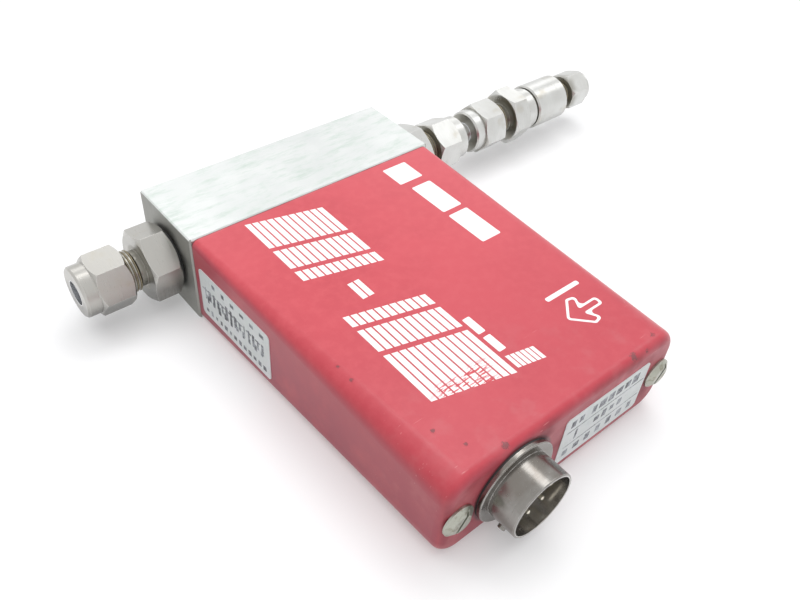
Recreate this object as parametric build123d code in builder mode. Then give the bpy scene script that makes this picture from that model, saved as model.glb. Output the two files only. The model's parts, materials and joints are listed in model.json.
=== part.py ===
"""Mass flow controller with an in-line filter on its inlet.

Frame: origin at the centre of the mounting face, +X along the flow axis toward the inlet,
+Y out of the mounting face, +Z up.  The controller lies on its large -Z side.  Millimetres.
"""
from build123d import *
from dataclasses import dataclass
import os

os.makedirs("parts", exist_ok=True)

# ---------------------------------------------------------------- driving dimensions

# Clearances
THREAD_GAP = 0.05      # radial, between a screwed-in shank and its hole
SLIP_GAP = 0.025       # radial, between pieces that slide together on assembly

# Base block
BLOCK_WIDTH = 76.2     # along the flow axis
BLOCK_DEPTH = 25.4     # mounting face to cover
BLOCK_THICK = 26.0
BLOCK_EDGE = 0.4       # broken edges
AXIS_DEPTH = 12.4      # flow axis behind the mounting face
MOUNT_SPACING = 31.75
MOUNT_HOLE_R = 1.73    # tap drill of the mounting screws
MOUNT_HOLE_DEPTH = 5.5
PASSAGE_R = 2.4

# Cover
COVER_INSET = 0.4      # how far the open end stands inside the block's outline
COVER_LENGTH = 89.8
COVER_DRAFT_X = 1.7    # narrowing of each side over the length
COVER_DRAFT_Z = 0.5
COVER_WALL = 1.1
COVER_OPEN_R = 1.8     # corner radius at the open end
COVER_CLOSED_R = 6.0   # corner radius at the connector end
COVER_RIM_R = 2.4      # rounding round the connector end face

# Posts inside the cover, and the screws in them
POST_INSET = 4.1       # from the cover's side, at the connector end, to a post's middle
POST_SIZE = 5.0
POST_SPIGOT_R = 1.5
POST_SPIGOT_LENGTH = 5.0
SCREW_R = 1.5
SCREW_HOLE_R = 1.9
SCREW_LENGTH = 7.0
SCREW_HEAD_R = 3.95
SCREW_HEAD_H = 1.5
SCREW_HEAD_RIM = 0.5   # height of the straight side of the head
SLOT_WIDTH = 0.9
SLOT_DEPTH = 0.6
SLOT_ANGLE = -30.0
SCREW_CROWN_R = 2.4    # flat top of the head

# Fitting body
FITTING_AF = 17.46
FITTING_HEX = 7.6
SHANK_R = 6.6
SHANK_LENGTH = 9.0
O_RING_THICK = 0.9
O_RING_WIDTH = 1.5
O_RING_ROUND = 0.3
PORT_CLEARANCE = 0.5   # between the shank's end and the port's floor
OUTLET_ANGLE = -42.0   # how far each hexagon is turned, degrees
INLET_ANGLE = 42.0

# Filter
FILTER_AF = 15.88
FILTER_HEX = 6.7
FILTER_ANGLE = 3.0
SPIGOT_R = 5.6
SPIGOT_WALL = 1.0
SPIGOT_LENGTH = 13.0
RING_R = 6.8
RING_LIP_R = 6.1
RING_LIP = 0.7
RING_WIDTH = 3.9
CAP_R = 7.4
CAP_LENGTH = 15.1
CAP_LEFT_CHAMFER = 0.5
CAP_RIGHT_CHAMFER = 1.5
ELEMENT_R = 3.6
ELEMENT_LENGTH = 9.0
ELEMENT_WALL = 1.0
ELEMENT_RIM = 0.9
TUBE_GAP = 3.9         # bare tube between the inlet nut and the filter nut

# Flow bypass
BYPASS_R = 5.5
BYPASS_LENGTH = 8.0
BYPASS_NOSE = 2.0
FLUTES = 8
FLUTE_DEPTH = 1.1
BYPASS_BORE_PAST = 10.0  # bore beyond the sensor's outlet tap

# Flow sensor
SENSOR_POST_GAP = 1.4  # between the sensor's base and the inlet side's post
SENSOR_Z = -2.0
SENSOR_TAP_HALF = 6.0  # half the distance between its taps
SENSOR_TAP_R = 0.65
SENSOR_BASE_HALF = 13.0
SENSOR_BASE_H = 3.5
SENSOR_BASE_Z = 11.0
SENSOR_HOUSING_HALF = 8.4
SENSOR_HOUSING_H = 30.0
SENSOR_HOUSING_Z = 12.0
SENSOR_HOUSING_WALL = 1.5
SENSOR_HOUSING_CORNER = 1.0
SENSOR_TUBE_R = 0.6
SENSOR_TUBE_BORE_R = 0.35
SENSOR_TUBE_RISE = 24.6
SENSOR_TUBE_BEND = 2.5
SENSOR_SCREW_HALF = 10.9
WINDING_R = 1.5
WINDING_LENGTH = 2.8
WINDING_SPACING = 4.0
SMALL_RING_R = 2.4
SMALL_RING_BORE_R = 1.4
SMALL_RING_H = 0.9

# Control valve
VALVE_POST_GAP = 0.4   # between the valve's flange and the outlet side's post
CHAMBER_R = 7.5
CHAMBER_DEPTH = 6.4
VALVE_FLANGE_X = 22.0
VALVE_FLANGE_Z = 20.0
VALVE_FLANGE_CORNER = 2.0
VALVE_FLANGE_H = 4.0
VALVE_SPIGOT = 2.0
VALVE_RING_R = 8.9
VALVE_RING_H = 1.2
ACTUATOR_R = 6.0
ACTUATOR_WALL = 1.5
ACTUATOR_LENGTH = 40.6
VALVE_CAP_H = 3.0
VALVE_CAP_PLUG = 2.0
VALVE_TUBE_R = 2.6
VALVE_TUBE_WALL = 0.4
HEATER_R = 3.3
HEATER_LENGTH = 28.0
HEATER_START = 4.6     # above the actuator's floor
STEM_R = 0.8
STEM_GRIP = 1.5        # stem inside the cap
BALL_R = 1.5
ORIFICE_R = 0.9
SEAT_R = 4.6
SEAT_H = 3.8
VALVE_SCREW_DX = 8.0
VALVE_SCREW_DZ = 7.5

# Small screws of the sensor and valve
CAP_SCREW_R = 1.3
CAP_SCREW_HEAD_R = 1.9
CAP_SCREW_HEAD_H = 1.6
CAP_SCREW_GRIP = 6.0   # length in the block

# Connector
CONNECTOR_INSET = 19.65  # from the cover's outlet side to the connector's axis
SHELL_R = 8.35
SHELL_WALL = 0.6
SHELL_FRONT = 8.5      # rim ahead of the cover's end face
SHELL_BACK = 7.2       # shell behind the end face
SHELL_LIP = 0.6
SHELL_LIP_STEP = 0.55  # how far the lip stands in from the bore
SHELL_FLANGE_RIM = 2.25  # how far the flange stands out from the shell
SHELL_FLANGE_H = 1.0
SHELL_CHAMFER = 0.2
GASKET_H = 0.4
SHELL_HOLE_GAP = 0.15
LUG_R = 0.9
LUG_HEIGHT = 0.9
LUG_ROOT = 0.3         # lug inside the shell's wall
LUG_ANGLE = 225.0
LUG_FROM_RIM = 4.0
JAM_NUT_WALL = 0.95    # at the flats
JAM_NUT_H = 2.2
INSERT_FRONT = 2.0     # insert's face ahead of the cover's end face
PIN_R = 0.5
PIN_CHAMFER = 0.2
PIN_REACH = 4.0        # pin ahead of the insert's face
PIN_EDGE = 2.35        # from the shell's bore to the ring of pins
PIN_COUNT = 8
PIN_CENTRE_HALF = 1.8

# Circuit boards
BOARD_Z = 6.4          # underside of the main board
BOARD_THICK = 1.6
BOARD_SIDE_GAP = 0.7   # between the board's edge and the cover
BOARD_START = 10.6     # from the base block to the board's near edge
BOARD_END_GAP = 1.0    # between the board and the connector's shell
BOARD_CORNER = 1.5
SPACER_R = 2.4
SPACER_FROM_START = 8.0  # spacers, from the board's ends
SPACER_FROM_END = 9.0
BOARD_SCREW_R = 1.1
BOARD_SCREW_HEAD_R = 2.0
BOARD_SCREW_HEAD_H = 1.3
BOARD_SCREW_GRIP = 3.5
TAIL_BOARD_HALF = 10.2
TAIL_BOARD_THICK = 1.4
TAIL_BOARD_DROP = 15.4
TAIL_BOARD_BEHIND = 2.2  # space between the shell and the small board
HEADER_HALF = 8.5
HEADER_SIDE = 2.5
CHIP_X = 10.0
CHIP_Y = 6.5
CHIP_H = 2.2
CHIP_GRID_X = 16.0
CHIP_GRID_Y = 15.0
CHIP_CENTRE = 32.0     # of the chips, from the base block
RESISTOR_X = 3.2
RESISTOR_Y = 1.6
RESISTOR_H = 0.7
RESISTOR_GRID_X = 7.0
RESISTOR_GRID_Y = 5.0
RESISTOR_FROM_END = 21.6
CAPACITOR_R = 3.8
CAPACITOR_H = 9.0
CAPACITOR_SPACING = 9.5
CAPACITOR_X = 8.0
CAPACITOR_FROM_END = 19.6
TRIM_X = 4.8
TRIM_Y = 9.5
TRIM_H = 6.0
TRIM_SPACING = 6.0
TRIM_INSET = 18.2      # from the board's inlet edge
TRIM_FROM_END = 8.1
LEAD_R = 0.45
LEAD_REACH = 5.5
LEAD_BEND = 2.5
SENSOR_LEAD_SPACING = 3.0
VALVE_LEAD_SPACING = 4.0

# Labels
LABEL_THICK = 0.15
LABEL_CORNER = 1.2
SIDE_LABEL_LENGTH = 30.0
SIDE_LABEL_WIDTH = 14.8
SIDE_LABEL_START = 2.2   # from the base block
SIDE_LABEL_Z = -1.2
LABEL_FLANGE_GAP = 4.25  # front label, from the connector's flange
LABEL_SCREW_GAP = 0.65   # front label, from the screw head
FRONT_LABEL_Z = -0.8
FRONT_LABEL_WIDTH = 15.5


@dataclass
class TubeEnd:
    """Sizes of one compression tube end: the body's threaded end, the nut and the ferrules."""
    tube_r: float
    nut_af: float
    nut_hex: float
    shoulder_r: float
    shoulder: float
    shoulder_round: float
    neck_r: float
    thread_r: float
    engaged: float      # threaded end inside the nut
    mouth_r: float
    cone: float         # depth of the body's cone
    front_ferrule: float
    front_flange: float
    back_ferrule: float
    socket: float       # depth of the tube socket
    bore_r: float

    @property
    def nut_length(self):
        return self.nut_hex + self.shoulder

    @property
    def seat(self):
        """Where the back ferrule meets the nut, from the nut's open end."""
        return self.engaged + self.front_flange + self.back_ferrule


QUARTER = TubeEnd(tube_r=3.175, nut_af=14.29, nut_hex=8.7, shoulder_r=6.75, shoulder=3.6,
                  shoulder_round=0.5, neck_r=4.8, thread_r=5.3, engaged=7.6, mouth_r=4.3,
                  cone=2.9, front_ferrule=2.3, front_flange=0.7, back_ferrule=1.2,
                  socket=8.5, bore_r=2.3)
EIGHTH = TubeEnd(tube_r=1.5875, nut_af=11.11, nut_hex=8.4, shoulder_r=5.3, shoulder=2.2,
                 shoulder_round=1.2, neck_r=3.3, thread_r=3.85, engaged=6.0, mouth_r=2.5,
                 cone=2.2, front_ferrule=1.7, front_flange=0.6, back_ferrule=1.0,
                 socket=6.5, bore_r=1.2)
NECK = 4.3             # bare neck between a hexagon and its nut
END_NECK = 3.5
RELIEF = 1.4           # plain part of a neck, before its thread
THREAD_CHAMFER = 0.5
NUT_CLEARANCE = 0.3    # in a nut, beyond the threaded end and round the ferrules
POCKET_GAP = 0.15
FERRULE_NOSE = 0.35
HEX_BEVEL = 0.8        # how far a hexagon's corners are bevelled back along the axis
OUTLET_NUT_ANGLE = -64.5
INLET_NUT_ANGLE = 34.0
FILTER_NUT_ANGLE = -12.0
END_NUT_ANGLE = 40.0

# ---------------------------------------------------------------- derived places

COVER_Y = -BLOCK_DEPTH                         # plane where the cover meets the block
END_Y = COVER_Y - COVER_LENGTH                 # outer face of the connector end
INNER_END_Y = END_Y + COVER_WALL
OPEN_X = BLOCK_WIDTH - 2 * COVER_INSET         # cover's outline at the block
OPEN_Z = BLOCK_THICK - COVER_INSET
CLOSED_X = OPEN_X - 2 * COVER_DRAFT_X          # and at the connector end
CLOSED_Z = OPEN_Z - 2 * COVER_DRAFT_Z
POST_X = CLOSED_X / 2 - POST_INSET
BETWEEN_POSTS = POST_X - POST_SIZE / 2         # half the width free between the posts
SENSOR_X = BETWEEN_POSTS - SENSOR_POST_GAP - SENSOR_BASE_HALF
VALVE_X = VALVE_POST_GAP + VALVE_FLANGE_X / 2 - BETWEEN_POSTS
CONNECTOR_X = CONNECTOR_INSET - CLOSED_X / 2
PORT_R = SHANK_R + THREAD_GAP
PORT_DEPTH = SHANK_LENGTH + PORT_CLEARANCE
NUT_START = O_RING_THICK + FITTING_HEX + NECK  # nut's open end, out from the block's side
INLET_X = BLOCK_WIDTH / 2
INLET_NUT_END = INLET_X + NUT_START + QUARTER.nut_length
FILTER_NUT_OPEN = INLET_NUT_END + TUBE_GAP + QUARTER.nut_length
FILTER_X = FILTER_NUT_OPEN + NECK              # left face of the filter's hexagon
RING_X = FILTER_X + FILTER_HEX
CAP_X = RING_X + RING_WIDTH + 2 * RING_LIP
CAP_END = CAP_X + CAP_LENGTH
END_NUT_X = CAP_END + END_NECK
FILTER_CHAMBER_R = SPIGOT_R - SPIGOT_WALL
BYPASS_BORE_END = SENSOR_X - SENSOR_TAP_HALF - BYPASS_BORE_PAST
BOARD_TOP = BOARD_Z + BOARD_THICK
BOARD_Y = COVER_Y - BOARD_START
BOARD_HALF = CLOSED_X / 2 - COVER_WALL - BOARD_SIDE_GAP
BOARD_LENGTH = COVER_LENGTH - BOARD_START - SHELL_BACK - BOARD_END_GAP
BOARD_END_Y = BOARD_Y - BOARD_LENGTH
ACTUATOR_Y = COVER_Y - VALVE_FLANGE_H
ACTUATOR_END = ACTUATOR_Y - ACTUATOR_LENGTH
VALVE_TUBE_Y = COVER_Y + VALVE_SPIGOT          # inner end of the valve tube
VALVE_CAP_PLUG_Y = ACTUATOR_END + VALVE_CAP_PLUG
SEAT_TOP = COVER_Y + CHAMBER_DEPTH
BALL_Y = SEAT_TOP - (BALL_R**2 - ORIFICE_R**2) ** 0.5 - SLIP_GAP
SENSOR_BASE_TOP = COVER_Y - SENSOR_BASE_H
SENSOR_TOP = SENSOR_BASE_TOP - SENSOR_HOUSING_H
SHELL_BORE_R = SHELL_R - SHELL_WALL
SHELL_LIP_R = SHELL_BORE_R - SHELL_LIP_STEP
SHELL_FLANGE_R = SHELL_R + SHELL_FLANGE_RIM
PIN_RING_R = SHELL_BORE_R - PIN_EDGE
SHELL_BACK_Y = END_Y + SHELL_BACK
SHELL_RIM_Y = END_Y - SHELL_FRONT
INSERT_FACE_Y = END_Y - INSERT_FRONT
INSERT_BACK_Y = SHELL_BACK_Y - SHELL_LIP
TAIL_BOARD_Y = SHELL_BACK_Y + TAIL_BOARD_BEHIND
PIN_TIP_Y = INSERT_FACE_Y - PIN_REACH
PIN_END_Y = TAIL_BOARD_Y + TAIL_BOARD_THICK
LABEL_START = CONNECTOR_X + SHELL_FLANGE_R + LABEL_FLANGE_GAP
LABEL_END = POST_X - SCREW_HEAD_R - LABEL_SCREW_GAP
SPACER_PITCH = BOARD_LENGTH - SPACER_FROM_START - SPACER_FROM_END
SPACER_MIDDLE = (BOARD_Y - SPACER_FROM_START + BOARD_END_Y + SPACER_FROM_END) / 2
OUT = (1, 0, 0)


# ---------------------------------------------------------------- helpers

def station(x, side):
    """Plane across the flow axis at x; side 1 looks toward the inlet, -1 toward the outlet."""
    return Plane(origin=(x, -AXIS_DEPTH, 0), x_dir=(0, 1, 0), z_dir=(side, 0, 0))


def half_section(x, side):
    """Plane through the flow axis: local x runs outward from x, local y is the radius."""
    return Plane(origin=(x, -AXIS_DEPTH, 0), x_dir=(side, 0, 0), z_dir=(0, 0, side))


def upright(x, y, z):
    """Plane through an axis along -Y at (x, z): local x runs away from the block from y."""
    return Plane(origin=(x, y, z), x_dir=(0, -1, 0), z_dir=(0, 0, 1))


def facing_out(y, x=0, z=0):
    """Plane whose normal is -Y, with local x along +X and local y along +Z."""
    return Plane(origin=(x, y, z), x_dir=(1, 0, 0), z_dir=(0, -1, 0))


def turn(plane, points, mode=Mode.ADD):
    """Turn an outline of (along, radius) points about the plane's x axis."""
    with BuildSketch(plane) as profile:
        with BuildLine():
            Polyline(*points, close=True)
        make_face()
    revolve(profile.sketch, axis=Axis(plane.origin, plane.x_dir), mode=mode)


def hexagon(x, side, length, across, angle):
    """A hexagon with its corners bevelled, from x outward."""
    with BuildSketch(station(x, side)) as profile:
        RegularPolygon(across / 2, 6, major_radius=False, rotation=angle)
    extrude(profile.sketch, amount=length)
    corner = across / 3**0.5 + 0.01
    turn(half_section(x, side), [(0, 0), (0, across / 2), (HEX_BEVEL, corner),
                                 (length - HEX_BEVEL, corner), (length, across / 2),
                                 (length, 0)], mode=Mode.INTERSECT)


def finish(builder, label):
    """Label a piece and write it to its own file."""
    builder.part.label = label
    export_step(builder.part, f"parts/{label}.step")


# ---------------------------------------------------------------- tube ends

def threaded_end(x, side, size, neck):
    """Neck, threaded end, cone and tube socket of a body; x is where the neck leaves the body."""
    end = neck + size.engaged
    turn(half_section(x, side), [(0, 0), (0, size.neck_r), (RELIEF, size.neck_r),
                                 (RELIEF + THREAD_CHAMFER, size.thread_r),
                                 (end - THREAD_CHAMFER, size.thread_r),
                                 (end, size.thread_r - THREAD_CHAMFER), (end, 0)])


def tube_socket(x, side, size, neck):
    """Bore out the tube socket and its cone in the threaded end that starts at x."""
    end = neck + size.engaged
    socket_r = size.tube_r + SLIP_GAP
    turn(half_section(x, side), [(end - size.socket, 0), (end - size.socket, socket_r),
                                 (end - size.cone, socket_r), (end, size.mouth_r), (end, 0)],
         mode=Mode.SUBTRACT)


def tube_nut(x, side, size, angle):
    """Compression nut; x is its open end."""
    hole_r = size.tube_r + SLIP_GAP
    thread_r = size.thread_r + THREAD_GAP
    pocket_r = size.mouth_r + POCKET_GAP
    with BuildPart() as nut:
        hexagon(x, side, size.nut_hex, size.nut_af, angle)
        round_start = size.nut_length - size.shoulder_round
        turn(half_section(x, side), [(size.nut_hex / 2, 0), (size.nut_hex / 2, size.shoulder_r),
                                     (round_start, size.shoulder_r),
                                     (size.nut_length, size.shoulder_r - size.shoulder_round),
                                     (size.nut_length, 0)])
        turn(half_section(x, side), [(0, 0), (0, thread_r), (size.engaged + NUT_CLEARANCE, thread_r),
                                     (size.seat - NUT_CLEARANCE, pocket_r), (size.seat, pocket_r),
                                     (size.seat, 0)], mode=Mode.SUBTRACT)
        with BuildSketch(station(x, side)):
            Circle(hole_r)
        extrude(amount=size.nut_length, mode=Mode.SUBTRACT)
    return nut


def front_ferrule(x, side, size):
    """Front ferrule in the body's cone; x is the nut's open end."""
    slope = (size.mouth_r - size.tube_r - SLIP_GAP) / size.cone
    tip_r = size.mouth_r - slope * size.front_ferrule - SLIP_GAP
    bore_r = size.tube_r + SLIP_GAP
    with BuildPart() as ferrule:
        turn(half_section(x, side), [(size.engaged - size.front_ferrule, bore_r),
                                     (size.engaged - size.front_ferrule, tip_r),
                                     (size.engaged, size.mouth_r - SLIP_GAP),
                                     (size.engaged + size.front_flange, size.mouth_r),
                                     (size.engaged + size.front_flange, bore_r)])
    return ferrule


def back_ferrule(x, side, size):
    """Back ferrule between the front ferrule and the nut."""
    start = size.engaged + size.front_flange
    bore_r = size.tube_r + SLIP_GAP
    with BuildPart() as ferrule:
        turn(half_section(x, side), [(start, bore_r), (start, size.mouth_r - FERRULE_NOSE),
                                     (start + FERRULE_NOSE, size.mouth_r), (size.seat, size.mouth_r),
                                     (size.seat, bore_r)])
    return ferrule


def fitting_body(side, angle):
    """Fitting body screwed into the block's port."""
    face = side * BLOCK_WIDTH / 2
    hex_start = face + side * O_RING_THICK
    neck_start = hex_start + side * FITTING_HEX
    with BuildPart() as body:
        hexagon(hex_start, side, FITTING_HEX, FITTING_AF, angle)
        turn(half_section(face, side), [(-SHANK_LENGTH, 0), (-SHANK_LENGTH, SHANK_R),
                                        (O_RING_THICK, SHANK_R), (O_RING_THICK, 0)])
        threaded_end(neck_start, side, QUARTER, NECK)
        tube_socket(neck_start, side, QUARTER, NECK)
        with BuildSketch(station(face - side * SHANK_LENGTH, side)):
            Circle(QUARTER.bore_r)
        extrude(amount=SHANK_LENGTH + NUT_START + QUARTER.engaged, mode=Mode.SUBTRACT)
    return body


def port_o_ring(side):
    """Seal ring between the block and the fitting's hexagon."""
    inner = SHANK_R + SLIP_GAP
    outer = inner + O_RING_WIDTH
    with BuildPart() as ring:
        turn(half_section(side * BLOCK_WIDTH / 2, side),
             [(0, inner), (0, outer - O_RING_ROUND), (O_RING_ROUND, outer),
              (O_RING_THICK - O_RING_ROUND, outer), (O_RING_THICK, outer - O_RING_ROUND),
              (O_RING_THICK, inner)])
    return ring


# ---------------------------------------------------------------- base block

with BuildPart() as base_block:
    with BuildSketch(Plane.XZ):
        Rectangle(BLOCK_WIDTH, BLOCK_THICK)
    extrude(amount=BLOCK_DEPTH)
    chamfer(base_block.edges(), BLOCK_EDGE)
    # ports, and the bore that holds the bypass
    for port_side in (1, -1):
        turn(half_section(port_side * BLOCK_WIDTH / 2, port_side),
             [(0, 0), (0, PORT_R), (-PORT_DEPTH, PORT_R), (-PORT_DEPTH, 0)], mode=Mode.SUBTRACT)
    with BuildSketch(station(INLET_X, -1)):
        Circle(BYPASS_R)
    extrude(amount=INLET_X - BYPASS_BORE_END, mode=Mode.SUBTRACT)
    # valve chamber, seat bore and outlet passage
    turn(upright(VALVE_X, COVER_Y, 0),
         [(0, 0), (0, VALVE_RING_R + SLIP_GAP), (-VALVE_RING_H, VALVE_RING_R + SLIP_GAP),
          (-VALVE_RING_H, CHAMBER_R), (-CHAMBER_DEPTH, CHAMBER_R),
          (-CHAMBER_DEPTH, SEAT_R + SLIP_GAP), (-CHAMBER_DEPTH - SEAT_H, SEAT_R + SLIP_GAP),
          (-CHAMBER_DEPTH - SEAT_H, PASSAGE_R), (AXIS_DEPTH - BLOCK_DEPTH, PASSAGE_R),
          (AXIS_DEPTH - BLOCK_DEPTH, 0)], mode=Mode.SUBTRACT)
    with BuildSketch(station(-BLOCK_WIDTH / 2, 1)):
        Circle(PASSAGE_R)
    extrude(amount=BLOCK_WIDTH / 2 + VALVE_X, mode=Mode.SUBTRACT)
    # slanting passage from the bypass bore up to the valve chamber
    slant_start = Vector(BYPASS_BORE_END + BYPASS_R / 2, -AXIS_DEPTH, 0)
    slant_end = Vector(VALVE_X + CHAMBER_R / 2, SEAT_TOP - CHAMBER_DEPTH / 3, 0)
    slant = slant_end - slant_start
    with BuildSketch(Plane(origin=slant_start, z_dir=slant)):
        Circle(PASSAGE_R / 2)
    extrude(amount=slant.length, mode=Mode.SUBTRACT)
    # sensor taps
    with BuildSketch(facing_out(-AXIS_DEPTH, SENSOR_X, SENSOR_Z)):
        with Locations((-SENSOR_TAP_HALF, 0), (SENSOR_TAP_HALF, 0)):
            Circle(SENSOR_TAP_R)
    extrude(amount=BLOCK_DEPTH - AXIS_DEPTH, mode=Mode.SUBTRACT)
    # screw holes in the face under the cover
    with BuildSketch(facing_out(COVER_Y)):
        with Locations((SENSOR_X - SENSOR_SCREW_HALF, SENSOR_Z),
                       (SENSOR_X + SENSOR_SCREW_HALF, SENSOR_Z)):
            Circle(CAP_SCREW_R + THREAD_GAP)
        with Locations((VALVE_X, 0)):
            with GridLocations(2 * VALVE_SCREW_DX, 2 * VALVE_SCREW_DZ, 2, 2):
                Circle(CAP_SCREW_R + THREAD_GAP)
    extrude(amount=-CAP_SCREW_GRIP, mode=Mode.SUBTRACT)
    with BuildSketch(facing_out(COVER_Y)):
        with GridLocations(2 * POST_X, 1, 2, 1):
            Circle(POST_SPIGOT_R + THREAD_GAP)
    extrude(amount=-POST_SPIGOT_LENGTH, mode=Mode.SUBTRACT)
    # tapped holes in the mounting face
    with BuildSketch(Plane.XZ):
        with GridLocations(MOUNT_SPACING, 1, 2, 1):
            Circle(MOUNT_HOLE_R)
    extrude(amount=MOUNT_HOLE_DEPTH, mode=Mode.SUBTRACT)
finish(base_block, "base_block")

# ---------------------------------------------------------------- cover

with BuildPart() as cover:
    with BuildSketch(facing_out(COVER_Y)):
        RectangleRounded(OPEN_X, OPEN_Z, COVER_OPEN_R)
    with BuildSketch(facing_out(END_Y)):
        RectangleRounded(CLOSED_X, CLOSED_Z, COVER_CLOSED_R)
    loft()
    fillet(cover.faces().sort_by(Axis.Y)[0].edges(), COVER_RIM_R)
    with BuildSketch(facing_out(COVER_Y)):
        RectangleRounded(OPEN_X - 2 * COVER_WALL, OPEN_Z - 2 * COVER_WALL,
                         COVER_OPEN_R - COVER_WALL / 2)
    with BuildSketch(facing_out(INNER_END_Y)):
        RectangleRounded(CLOSED_X - 2 * COVER_WALL, CLOSED_Z - 2 * COVER_WALL,
                         COVER_CLOSED_R - COVER_WALL)
    loft(mode=Mode.SUBTRACT)
    with BuildSketch(facing_out(END_Y)):
        with Locations((CONNECTOR_X, 0)):
            Circle(SHELL_R + SHELL_HOLE_GAP)
        with GridLocations(2 * POST_X, 1, 2, 1):
            Circle(SCREW_HOLE_R)
    extrude(amount=-COVER_WALL, mode=Mode.SUBTRACT)
finish(cover, "cover")

with BuildPart() as support_posts:
    with BuildSketch(facing_out(COVER_Y)):
        with GridLocations(2 * POST_X, 1, 2, 1):
            Rectangle(POST_SIZE, POST_SIZE)
    extrude(amount=COVER_Y - INNER_END_Y)
    with BuildSketch(facing_out(COVER_Y)):
        with GridLocations(2 * POST_X, 1, 2, 1):
            Circle(POST_SPIGOT_R)
    extrude(amount=-POST_SPIGOT_LENGTH)
    with BuildSketch(facing_out(INNER_END_Y)):
        with GridLocations(2 * POST_X, 1, 2, 1):
            Circle(SCREW_R + THREAD_GAP)
    extrude(amount=-SCREW_LENGTH, mode=Mode.SUBTRACT)
    with BuildSketch(Plane.XY.offset(POST_SIZE / 2)):
        with Locations((0, SPACER_MIDDLE)):
            with GridLocations(2 * POST_X, SPACER_PITCH, 2, 2):
                Circle(BOARD_SCREW_R + THREAD_GAP)
    extrude(amount=-BOARD_SCREW_GRIP, mode=Mode.SUBTRACT)
finish(support_posts, "support_posts")

with BuildPart() as cover_screws:
    for post_side in (1, -1):
        turn(upright(post_side * POST_X, END_Y, 0),
             [(-SCREW_LENGTH, 0), (-SCREW_LENGTH, SCREW_R), (0, SCREW_R), (0, SCREW_HEAD_R),
              (SCREW_HEAD_RIM, SCREW_HEAD_R), (SCREW_HEAD_H, SCREW_CROWN_R),
              (SCREW_HEAD_H, 0)])
    with BuildSketch(facing_out(END_Y - SCREW_HEAD_H)):
        with GridLocations(2 * POST_X, 1, 2, 1):
            Rectangle(SLOT_WIDTH, 2 * SCREW_HEAD_R, rotation=SLOT_ANGLE)
    extrude(amount=-SLOT_DEPTH, mode=Mode.SUBTRACT)
finish(cover_screws, "cover_screws")

# ---------------------------------------------------------------- labels

side_axis = Vector(COVER_DRAFT_X, -COVER_LENGTH, 0).normalized()
side_middle = SIDE_LABEL_START + SIDE_LABEL_LENGTH / 2
side_face = Plane(origin=Vector(-OPEN_X / 2, COVER_Y, SIDE_LABEL_Z) + side_axis * side_middle,
                  x_dir=side_axis, z_dir=(side_axis.Y, -side_axis.X, 0))
with BuildPart() as side_label:
    with BuildSketch(side_face):
        RectangleRounded(SIDE_LABEL_LENGTH, SIDE_LABEL_WIDTH, LABEL_CORNER)
    extrude(amount=LABEL_THICK)
finish(side_label, "side_label")

with BuildPart() as front_label:
    with BuildSketch(facing_out(END_Y, (LABEL_START + LABEL_END) / 2, FRONT_LABEL_Z)):
        RectangleRounded(LABEL_END - LABEL_START, FRONT_LABEL_WIDTH, LABEL_CORNER)
    extrude(amount=LABEL_THICK)
finish(front_label, "front_label")

# ---------------------------------------------------------------- connector

with BuildPart() as connector_gasket:
    with BuildSketch(facing_out(END_Y, CONNECTOR_X)):
        Circle(SHELL_FLANGE_R)
        Circle(SHELL_R + SLIP_GAP, mode=Mode.SUBTRACT)
    extrude(amount=GASKET_H)
finish(connector_gasket, "connector_gasket")

with BuildPart() as connector_shell:
    turn(upright(CONNECTOR_X, END_Y, 0),
         [(-SHELL_BACK, SHELL_LIP_R), (-SHELL_BACK, SHELL_R), (GASKET_H, SHELL_R),
          (GASKET_H, SHELL_FLANGE_R), (GASKET_H + SHELL_FLANGE_H - SHELL_CHAMFER, SHELL_FLANGE_R),
          (GASKET_H + SHELL_FLANGE_H, SHELL_FLANGE_R - SHELL_CHAMFER),
          (GASKET_H + SHELL_FLANGE_H, SHELL_R),
          (SHELL_FRONT - SHELL_CHAMFER, SHELL_R), (SHELL_FRONT, SHELL_R - SHELL_CHAMFER),
          (SHELL_FRONT, SHELL_BORE_R), (SHELL_LIP - SHELL_BACK, SHELL_BORE_R),
          (SHELL_LIP - SHELL_BACK, SHELL_LIP_R)])
    lug_axis = Vector(1, 0, 0).rotate(Axis.Y, -LUG_ANGLE)
    lug_start = Vector(CONNECTOR_X, SHELL_RIM_Y + LUG_FROM_RIM, 0) + lug_axis * (SHELL_R - LUG_ROOT)
    with BuildSketch(Plane(origin=lug_start, z_dir=lug_axis)):
        Circle(LUG_R)
    extrude(amount=LUG_HEIGHT + LUG_ROOT)
finish(connector_shell, "connector_shell")

with BuildPart() as connector_nut:
    with BuildSketch(facing_out(INNER_END_Y, CONNECTOR_X)):
        RegularPolygon(SHELL_R + JAM_NUT_WALL, 6, major_radius=False)
        Circle(SHELL_R + THREAD_GAP, mode=Mode.SUBTRACT)
    extrude(amount=-JAM_NUT_H)
finish(connector_nut, "connector_nut")

with BuildPart() as connector_insert:
    with BuildSketch(facing_out(INSERT_BACK_Y, CONNECTOR_X)):
        Circle(SHELL_BORE_R - SLIP_GAP)
        with PolarLocations(PIN_RING_R, PIN_COUNT):
            Circle(PIN_R + SLIP_GAP, mode=Mode.SUBTRACT)
        with GridLocations(2 * PIN_CENTRE_HALF, 1, 2, 1):
            Circle(PIN_R + SLIP_GAP, mode=Mode.SUBTRACT)
    extrude(amount=INSERT_BACK_Y - INSERT_FACE_Y)
finish(connector_insert, "connector_insert")

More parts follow.
